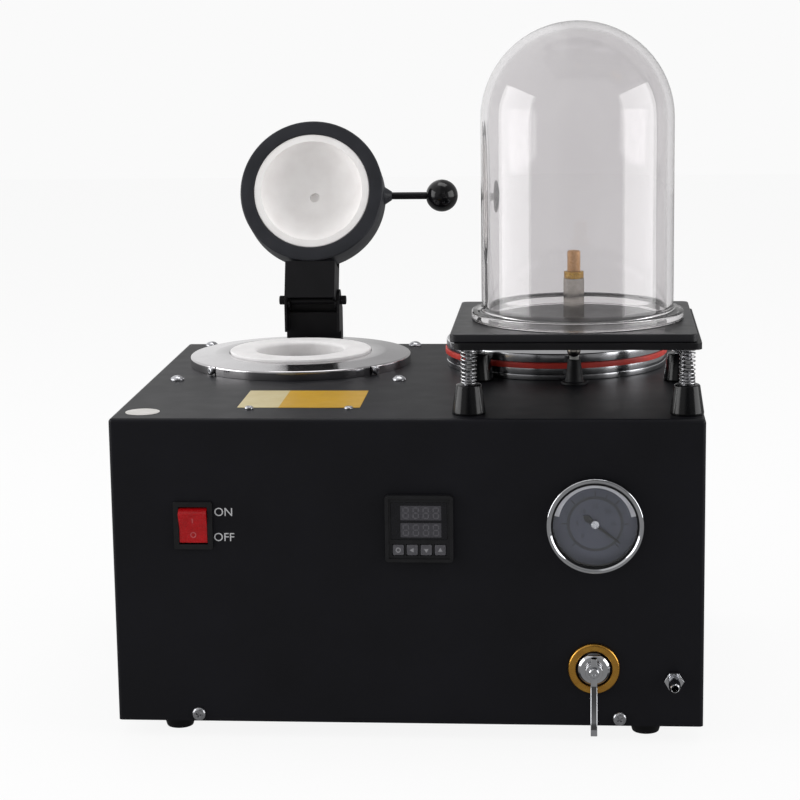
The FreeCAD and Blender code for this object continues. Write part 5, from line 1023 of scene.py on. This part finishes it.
def table():
    """Cones, springs, plate and pad, with the port that comes through them."""
    tall = LEG_TOP - TOP
    cone = turned(
        (2.5, 0), (12, 0, 0.5), (12, 1.5, 0.6), (9, tall, 1.2), (2.5, tall, 0.4), sides=64
    )
    spots = corner_spots("table_legs", LEG_INSET, LEG_INSET, TOP)
    cones = repeated(cone, spots, mould_rubber, loose=tau, seed=3)
    piece("table_cones", cones, mould_rubber, "table_legs")
    dressed("leg_studs", zinc)
    dressed("plate_spigots", zinc)

    wire = SPRING_WIRE / 2
    coils = wound(
        corner_spots("table_legs", LEG_INSET, LEG_INSET, LEG_TOP + wire),
        SPRING_OUTER / 2 - wire, wire, PLATE_UNDER - LEG_TOP - 2 * wire, SPRING_TURNS,
        SPRING_CLOSED, spring_wire,
    )
    springs = thing_of("table_spring_coils", coils)
    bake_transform(springs)
    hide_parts("table_springs")

    dressed("table_plate", black_steel, slot="black_powder_coat", edge=0.5)
    dressed("rubber_pad", pad_rubber, edge=0.7)
    dressed("port_column", nickel, edge=0.25)
    dressed("port_nut", brass, edge=0.3)
    tall = size("port_muffler").z
    lathed("port_muffler_cap", (
        (2.5, 0), (4.7, 0, 0.3), (4.7, tall, 1.3), (0, tall), (0, tall - 3), (2.5, tall - 3),
    ), at(over(middle("port_nut"), low("port_muffler").z)), sintered_bronze, "port_muffler", 64)
    below = low("hose_boot").z - TOP
    lathed("hose_boot_skin", (
        (3.8, below), (9, below, 0.6), (9, -1.5, 0.4), (7, -1.5), (7, 0), (10, 0, 0.4),
        (10, 2, 0.7), (7, 2, 0.8), (4.7, BOOT_TALL, 0.9), (3.8, BOOT_TALL),
    ), at(BOOT), rubber, "hose_boot", sides=64)
    hose()


def hose():
    """Short silicone hose from the boot to the elbow under the plate."""
    mesh = cad_mesh("table_hose", 40)
    mesh.materials.append(silicone_hose)
    tube = thing_of("table_hose_skin", mesh)
    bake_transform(tube)
    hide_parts("table_hose")


def jar():
    """Clear bell jar: ground flange, straight wall and round dome."""
    r, wall, tall = 69.5, 5.0, size("bell_jar").z
    inner, spring_line = r - wall, tall - r
    flange, brim = size("bell_jar").x / 2, 6.0
    bulge = sqrt(0.5)
    lathed("bell_jar_shell", (
        (inner, 0, 0.4), (flange, 0, 0.8), (flange, brim, 1.5), (r, brim, 4.0), (r, spring_line),
        ((r * bulge, spring_line + r * bulge), (0, tall)), (0, tall - wall),
        ((inner * bulge, spring_line + inner * bulge), (inner, spring_line)),
    ), at(over(middle("bell_jar"), low("bell_jar").z)), acrylic, "bell_jar", sides=192)


# ---- gauge -------------------------------------------------------------------
NEEDLE_REST = -37.5
BLADE_THICK = 0.7
PRINT_THICK = 0.08
SCALE_START, SCALE_SWEEP, SCALE_FIGURES = -135.0, 270.0, 7
SCALE_BARS = ((61, 0.70, 1.0, 0.22), (13, 0.72, 2.6, 0.55), (7, 0.74, 3.6, 0.8))
FIGURES_AT, FIGURE_H = 0.42, 3.2
BAND = (0.6, 0.67)
# Painted reflection of the domed glass: the pale arc's radii as shares of the dial's, where it
# starts, how far it sweeps and in how many steps.
ARC = (0.985, 0.865)
ARC_START, ARC_SWEEP, ARC_STEPS = 11.0, 158.0, 60


def gauge():
    """Chromed ring, domed glass, dial with its scale, needle and case."""
    here = on_front(GAUGE.x, GAUGE.z)
    r = size("gauge_bezel").x / 2
    proud = FRONT - low("gauge_bezel").y
    face = FRONT - low("gauge_lens").y
    lathed("gauge_ring", (
        (r - 1, 0.2), (r, 0.2, 0.2), (r, proud, 1.1), (r - 2.0, proud, 0.7),
        (r - 3.6, proud - 1.2, 0.2), (r - 3.6, face), (r - 1, face),
    ), here, chrome, "gauge_bezel", sides=160)
    lathed("gauge_seal", (
        (r - 4.6, face + 0.05), (r - 3.0, face + 0.05), (r - 2.2, proud - 0.5, 0.3),
        (r - 3.0, proud - 0.9, 0.3), (r - 4.6, face + 1.0, 0.2),
    ), here, rubber)
    lens_r, lens_t = size("gauge_lens").x / 2, size("gauge_lens").y
    lathed("gauge_glass_disc", (
        (0, face - lens_t), (lens_r, face - lens_t), (lens_r, face - 1.2), (r - 3.8, face - 1.2),
        (r - 4.0, face + 0.4, 0.3), (r - 4.8, face + 0.6), (0, face + 0.9),
    ), here, glass, "gauge_lens")

    dial = looking_out(GAUGE.x, low("gauge_dial").y, GAUGE.z)
    r = size("gauge_dial").x / 2
    lathed(
        "gauge_dial_disc", ((1.0, -1.0), (r, -1.0), (r, 0, 0.1), (1.0, 0)), dial, dial_paint,
        "gauge_dial",
    )
    dial_scale(dial, r)
    dressed("gauge_case", nylon, slot="black_steel")
    front = low("gauge_needle").y
    here = looking_out(GAUGE.x, front + BLADE_THICK, GAUGE.z)
    blade = mesh_of(slab((
        (22.2, -0.35), (22.2, 0.35), (1.5, 1.1), (-1.5, 1.1), (-7.0, 2.4), (-10.5, 0),
        (-7.0, -2.4), (-1.5, -1.1), (1.5, -1.1),
    ), BLADE_THICK), here @ Matrix.Rotation(radians(NEEDLE_REST), 4, "Z"))
    boss = turned((0, -1.0), (2.6, -1.0), (2.6, BLADE_THICK), (0, BLADE_THICK), sides=40)
    piece("needle_blade", joined([blade, mesh_of(boss, here)]), needle_black, "gauge_needle")
    lathed(
        "needle_hub_cap", ((0, 0), (2.9, 0), (2.9, 0.8, 0.5), (0, 0.8)),
        looking_out(GAUGE.x, front, GAUGE.z), zinc, body="needle", slot="needle_paint", sides=32,
    )


def dial_scale(dial, radius):
    """Ticks, a bold inner band and figures, printed on the dial, and a pale arc over the top of the
    scale that is a painted reflection of the domed glass.
    """
    parts = []
    origin = bpy.data.meshes.new("origin")
    origin.from_pydata([(0, 0, 0)], [], [])
    start, sweep = radians(90 - SCALE_START), -radians(SCALE_SWEEP)
    for count, place, length, width in SCALE_BARS:
        parts.append(grown(
            SCALE, origin.copy(), Count=count, Radius=radius * place * MM,
            Length=length * MM, Width=width * MM, Thickness=2 * PRINT_THICK * MM,
            First_angle=start, Sweep=sweep, Material=dial_ink,
        ))
    for i in range(SCALE_FIGURES):
        angle = start + sweep * i / (SCALE_FIGURES - 1)
        spot = Vector((cos(angle), sin(angle), 0)) * radius * FIGURES_AT
        parts.append(lettering(str(i * 5), FIGURE_H, at(spot), dial_ink))
    inner, outer = [radius * share for share in BAND]
    lathed("dial_band_print", (
        (inner, 0), (outer, 0), (outer, PRINT_THICK / 2), (inner, PRINT_THICK / 2),
    ), dial, band_ink, slot="dial_paint", sides=96)
    # Painted reflection of the domed glass: a pale crescent laid on the dial over the top of the
    # scale.
    turns = [radians(ARC_START + ARC_SWEEP * i / ARC_STEPS) for i in range(ARC_STEPS + 1)]
    crescent = [
        (radius * share * cos(t), radius * share * sin(t))
        for share, way in zip(ARC, (turns, turns[::-1])) for t in way
    ]
    arc = mesh_of(slab(crescent, PRINT_THICK), dial)
    piece("dial_arc_print", arc, pale_ink, slot="dial_paint")
    scale = joined(parts)
    scale.materials.clear()
    scale.transform(Matrix.Scale(MM, 4) @ dial @ Matrix.Scale(1 / MM, 4))
    piece("dial_scale_print", scale, dial_ink, slot="dial_paint")


CAPITALS = 1.38     # size of a font over the height of its capitals


def lettering(words, height, place, material):
    """Raised print of a word, centred on a place, as a mesh."""
    text = bpy.data.curves.new(words, "FONT")
    text.body = words
    text.size = height * CAPITALS
    text.align_x = "CENTER"
    text.align_y = "CENTER"
    text.extrude = PRINT_THICK
    text.resolution_u = 4
    mesh = settled(thing_of(words, text))
    mesh.transform(Matrix.Scale(MM, 4) @ place)
    mesh.materials.clear()
    mesh.materials.append(material)
    return mesh


# ---- controller --------------------------------------------------------------
DIGIT_ROWS = (167.5, 155.1)
DIGIT_PITCH, DIGIT_W, DIGIT_H, SEGMENT_W = 7.1, 4.6, 8.4, 0.9
DIGITS_ASIDE = 1.3              # right of the window's middle
PANE = (28.8, 10.4, 0.5)
MARK_R, RING_R = 1.9, 1.1


def controller():
    """Case, smoked window with unlit figures, and the marked keys."""
    dressed("controller_case", case_abs, edge=0.4)
    dressed("controller_window", smoked, edge=0.2)
    face, x = low("controller_window").y, middle("controller_window").x + DIGITS_ASIDE
    for row, z in enumerate(DIGIT_ROWS, 1):
        pane = mesh_of(slab(rectangle(*PANE), PRINT_THICK / 2), looking_out(x, face, z))
        piece(f"display_pane_{row}", pane, figure_pane, slot="smoked_window")
        digits = [
            mesh_of(seven_segments(), looking_out(x + (i - 1.5) * DIGIT_PITCH, face, z))
            for i in range(4)
        ]
        piece(f"display_row_{row}", joined(digits), segment, slot="smoked_window")
    for i in range(1, 5):
        node = f"controller_key_{i}"
        dressed(node, key_rubber, edge=0.5)
        spot = looking_out(middle(node).x, low(node).y, middle(node).z)
        mark = mesh_of(key_mark(i), spot)
        piece(f"key_mark_{i}", mark, key_print, body=f"key_{i}", slot="grey_keys")


def seven_segments():
    """All seven bars of one figure, lying face up."""
    form = bmesh.new()
    half_w, half_h, w = DIGIT_W / 2, DIGIT_H / 2, SEGMENT_W
    bars = [(0, y, DIGIT_W - 2 * w, w) for y in (half_h - w / 2, 0, -half_h + w / 2)]
    for x in (-half_w + w / 2, half_w - w / 2):
        for y in (half_h / 2, -half_h / 2):
            bars.append((x, y, w, half_h - 1.6 * w))
    for x, y, width, height in bars:
        bar = slab(rectangle(width, height, min(width, height) * 0.35, x, y), PRINT_THICK)
        part = bpy.data.meshes.new("bar")
        bar.to_mesh(part)
        bar.free()
        form.from_mesh(part)
    return form


def key_mark(index):
    """Generic mark of a key: ring, arrow left, arrow down, arrow up."""
    if index == 1:
        return flat_ring(RING_R, MARK_R)
    turn = {2: pi, 3: -pi / 2, 4: pi / 2}[index]
    turns = [turn + a for a in (0, tau / 3, -tau / 3)]
    return slab([(MARK_R * cos(t), MARK_R * sin(t)) for t in turns], PRINT_THICK)


def flat_ring(inner, outer):
    """Printed ring, lying face up."""
    return turned((inner, 0), (outer, 0), (outer, PRINT_THICK), (inner, PRINT_THICK), sides=32)


# ---- switch ------------------------------------------------------------------
ROCKER_TILT = 24
RING_MARK = (-6.7, 1.69)        # under the pivot, and out of the front
DASH_MARK = (4.12, 3.99)
WORDS = (("ON", 166.4), ("OFF", 148.1))
WORDS_X, WORD_H = -129.2, 6.2


def switch():
    """Frame, red rocker and the words beside them."""
    dressed("switch_frame", nylon, edge=0.4)
    dressed("switch_rocker", red_rocker, edge=0.6)
    x = middle("switch_rocker").x
    pivot = low("switch_frame").z / 2 + high("switch_frame").z / 2
    up, out = RING_MARK
    ring = mesh_of(flat_ring(1.5, 2.1), on_front(x, pivot + up, out))
    up, out = DASH_MARK
    tilt = Matrix.Rotation(radians(ROCKER_TILT), 4, "X")
    dash = slab(rectangle(0.7, 4.0, 0.2), PRINT_THICK)
    dash = mesh_of(dash, on_front(x, pivot + up, out) @ tilt)
    piece("rocker_marks", joined([ring, dash]), rocker_print, body="rocker", slot="red_rocker")
    for word, z in WORDS:
        mesh = lettering(word, WORD_H, on_front(WORDS_X, z), panel_print)
        piece("word_" + word.lower(), mesh, panel_print)


# ---- valve and port ----------------------------------------------------------
VALVE_RING_BORE = 12.8


def valve():
    """Gold ring, chromed valve, cranked lever and its nut; the pump's barbed port."""
    r, bore, t = size("valve_ring").x / 2, VALVE_RING_BORE, size("valve_ring").y
    lathed(
        "valve_gold_ring", ((bore, 0), (r, 0, 0.2), (r, t, 1.6), (bore, t, 0.9)),
        at(VALVE, TO_FRONT), gold_anodised, "valve_ring",
    )
    dressed("valve_body", chrome, edge=0.3)
    dressed("valve_lever", chrome, edge=0.35)
    dressed("lever_nut", chrome, edge=0.2)
    dressed("pump_port", chrome, slot="nickel", edge=0.15)


# ---- plates on the top panel -------------------------------------------------
PLATE_THIN = 0.25
PLATES_Y = (FRONT + 42.0, FRONT + 110.0)
PLATES_X = (-124.0, -94.0, -35.0)           # ends of the cream and of the yellow part
DISC_X, DISC_Y, DISC_R = -189.8, FRONT + 25.2, 12.3


def plates():
    """Bare yellow plate with its cream end, and a bare round disc."""
    y0, y1 = PLATES_Y
    for name, (x0, x1), material in (
        ("cream_plate_end", PLATES_X[:2], cream_film), ("yellow_plate", PLATES_X[1:], yellow_film),
    ):
        form = slab(rectangle(x1 - x0, y1 - y0, 0, (x0 + x1) / 2, (y0 + y1) / 2), PLATE_THIN)
        piece(name, mesh_of(form, at(Vector((0, 0, TOP)))), material)
    lathed(
        "round_disc", ((0, 0), (DISC_R, 0), (DISC_R, PLATE_THIN, 0.1), (0, PLATE_THIN)),
        at(Vector((DISC_X, DISC_Y, TOP))), paper_disc, sides=64,
    )


# ---- studio ------------------------------------------------------------------
FLOOR_WHITE = "#fafafa"
FLOOR_PAINT = "#f2f2f2"
FLOOR_SIZE = 9000
FLOOR_GLOW = 0.9            # share of the floor's own white, the rest takes the shadow
FLOOR_SEEN = 1.04           # level of that white, which hides the floor's far edge
FLOOR_MIRRORED = 0.22       # and where a gloss mirrors the floor in front of the machine
WORLD_LEVEL = 0.55          # light that the world gives to a matt surface
FRONT_DIM = 0.15            # what a mirror sees straight in front of the machine
FRONT_ROOM = 0.55           # and to each side of that
RIGHT_DIM = 0.45            # share of that light which mirrors see towards the right
LAMPS = (                   # name, place, aim, width, height and power
    ("left_softbox", (-1.75, -0.35, 0.72), (0, 0, 0.4), 1.7, 1.25, 21),
    ("right_softbox", (1.9, -0.35, 0.72), (0, 0, 0.4), 1.7, 1.25, 20),
    ("overhead_softbox", (0.1, 0.3, 2.3), (0, 0, 0.2), 1.6, 1.0, 14),
)
CAMERA_PLACE = (0.12725, -1.73968, 0.53745)
PITCH, YAW, ROLL = 0.1832, -0.0830, 0.0143
LENS, SENSOR = 102.59, 36.0


def clean_tree(block):
    """The emptied tree of a world or a material, and its light path's outputs."""
    block.use_nodes = True
    block.node_tree.nodes.clear()
    return block.node_tree, add(block.node_tree, "ShaderNodeLightPath").outputs


def world_light():
    """White to the camera, even to matt surfaces, and a room with a dim front in mirrors."""
    world = bpy.data.worlds.new("pale_studio")
    bpy.context.scene.world = world
    tree, path = clean_tree(world)
    seen = reckoned(tree, "MAXIMUM", path["Is Camera Ray"], path["Is Transmission Ray"])
    toward = add(tree, "ShaderNodeTexCoord").outputs["Generated"]
    toward = add(tree, "ShaderNodeSeparateXYZ", {"Vector": toward}).outputs
    soft = {"interpolation_type": "SMOOTHSTEP"}
    front = mapped(tree, toward["Y"], (-0.99, -0.88), (FRONT_DIM, FRONT_ROOM), **soft)
    room = mapped(tree, toward["Y"], (-0.7, 0.1), (front, 1.0), **soft)
    right = mapped(tree, toward["X"], (-0.2, -0.04), (1.0, RIGHT_DIM), **soft)
    room = reckoned(tree, "MULTIPLY", room, right)
    mirrored = between(tree, path["Is Glossy Ray"], WORLD_LEVEL, room)
    level = between(tree, seen, mirrored, 1.0)
    sky = made(tree, "ShaderNodeBackground", {"Color": linear(FLOOR_WHITE), "Strength": level})
    add(tree, "ShaderNodeOutputWorld", {"Surface": sky})


def floor():
    """Pale floor that glows to the camera and takes a soft shadow."""
    matt = bpy.data.materials.new("pale_floor")
    tree, path = clean_tree(matt)
    clear = reckoned(tree, "MAXIMUM", path["Is Camera Ray"], path["Is Transmission Ray"])
    seen = reckoned(tree, "MAXIMUM", clear, path["Is Glossy Ray"])
    share = reckoned(tree, "MULTIPLY", seen, FLOOR_GLOW)
    level = between(tree, clear, FLOOR_MIRRORED, FLOOR_SEEN)
    glow = made(tree, "ShaderNodeEmission", {"Color": linear(FLOOR_WHITE), "Strength": level})
    paint = made(tree, "ShaderNodeBsdfDiffuse", {"Color": linear(FLOOR_PAINT)})
    mixed = made(tree, "ShaderNodeMixShader", {"Fac": share, 1: paint, 2: glow})
    add(tree, "ShaderNodeOutputMaterial", {"Surface": mixed})
    ground = slab(rectangle(FLOOR_SIZE, FLOOR_SIZE), 10)
    ground = thing_of("floor", mesh_of(ground, at(Vector((0, 0, -10)))))
    ground.data.materials.append(matt)


def lamps():
    """Three softboxes; the overhead one spares the jar, so its dome shows no bright patch."""
    for name, place, aim, width, height, power in LAMPS:
        light = bpy.data.lights.new(name, "AREA")
        light.shape = "RECTANGLE"
        light.size, light.size_y = width, height
        light.energy = power
        lamp = thing_of(name, light)
        lamp.location = place
        lamp.rotation_euler = (Vector(aim) - Vector(place)).to_track_quat("-Z", "Y").to_euler()
    spared = bpy.data.collections.new("spared_by_overhead")
    spared.objects.link(bpy.data.objects["bell_jar_shell"])
    lamp.light_linking.receiver_collection = spared
    spared.collection_objects[0].light_linking.link_state = "EXCLUDE"


def camera():
    """A long lens, a little above the machine and to its right."""
    view = bpy.data.cameras.new("camera")
    view.lens = LENS
    view.sensor_width = SENSOR
    view.clip_start = 0.05
    eye = thing_of("camera", view)
    forward = Vector((
        sin(YAW) * cos(PITCH), cos(YAW) * cos(PITCH), -sin(PITCH)
    ))
    level_right = Vector((cos(YAW), -sin(YAW), 0))
    down = forward.cross(level_right)
    right = level_right * cos(ROLL) + down * sin(ROLL)
    up = level_right * sin(ROLL) - down * cos(ROLL)
    turn = Matrix((right, up, -forward)).transposed().to_4x4()
    eye.matrix_world = Matrix.Translation(CAMERA_PLACE) @ turn
    bpy.context.scene.camera = eye
    bpy.context.scene.view_settings.view_transform = "Standard"


for build in (
    housing, furnace, lid, chamber, table, jar, gauge, controller, switch, valve, plates,
    world_light, floor, lamps, camera,
):
    build()

bpy.context.view_layer.update()
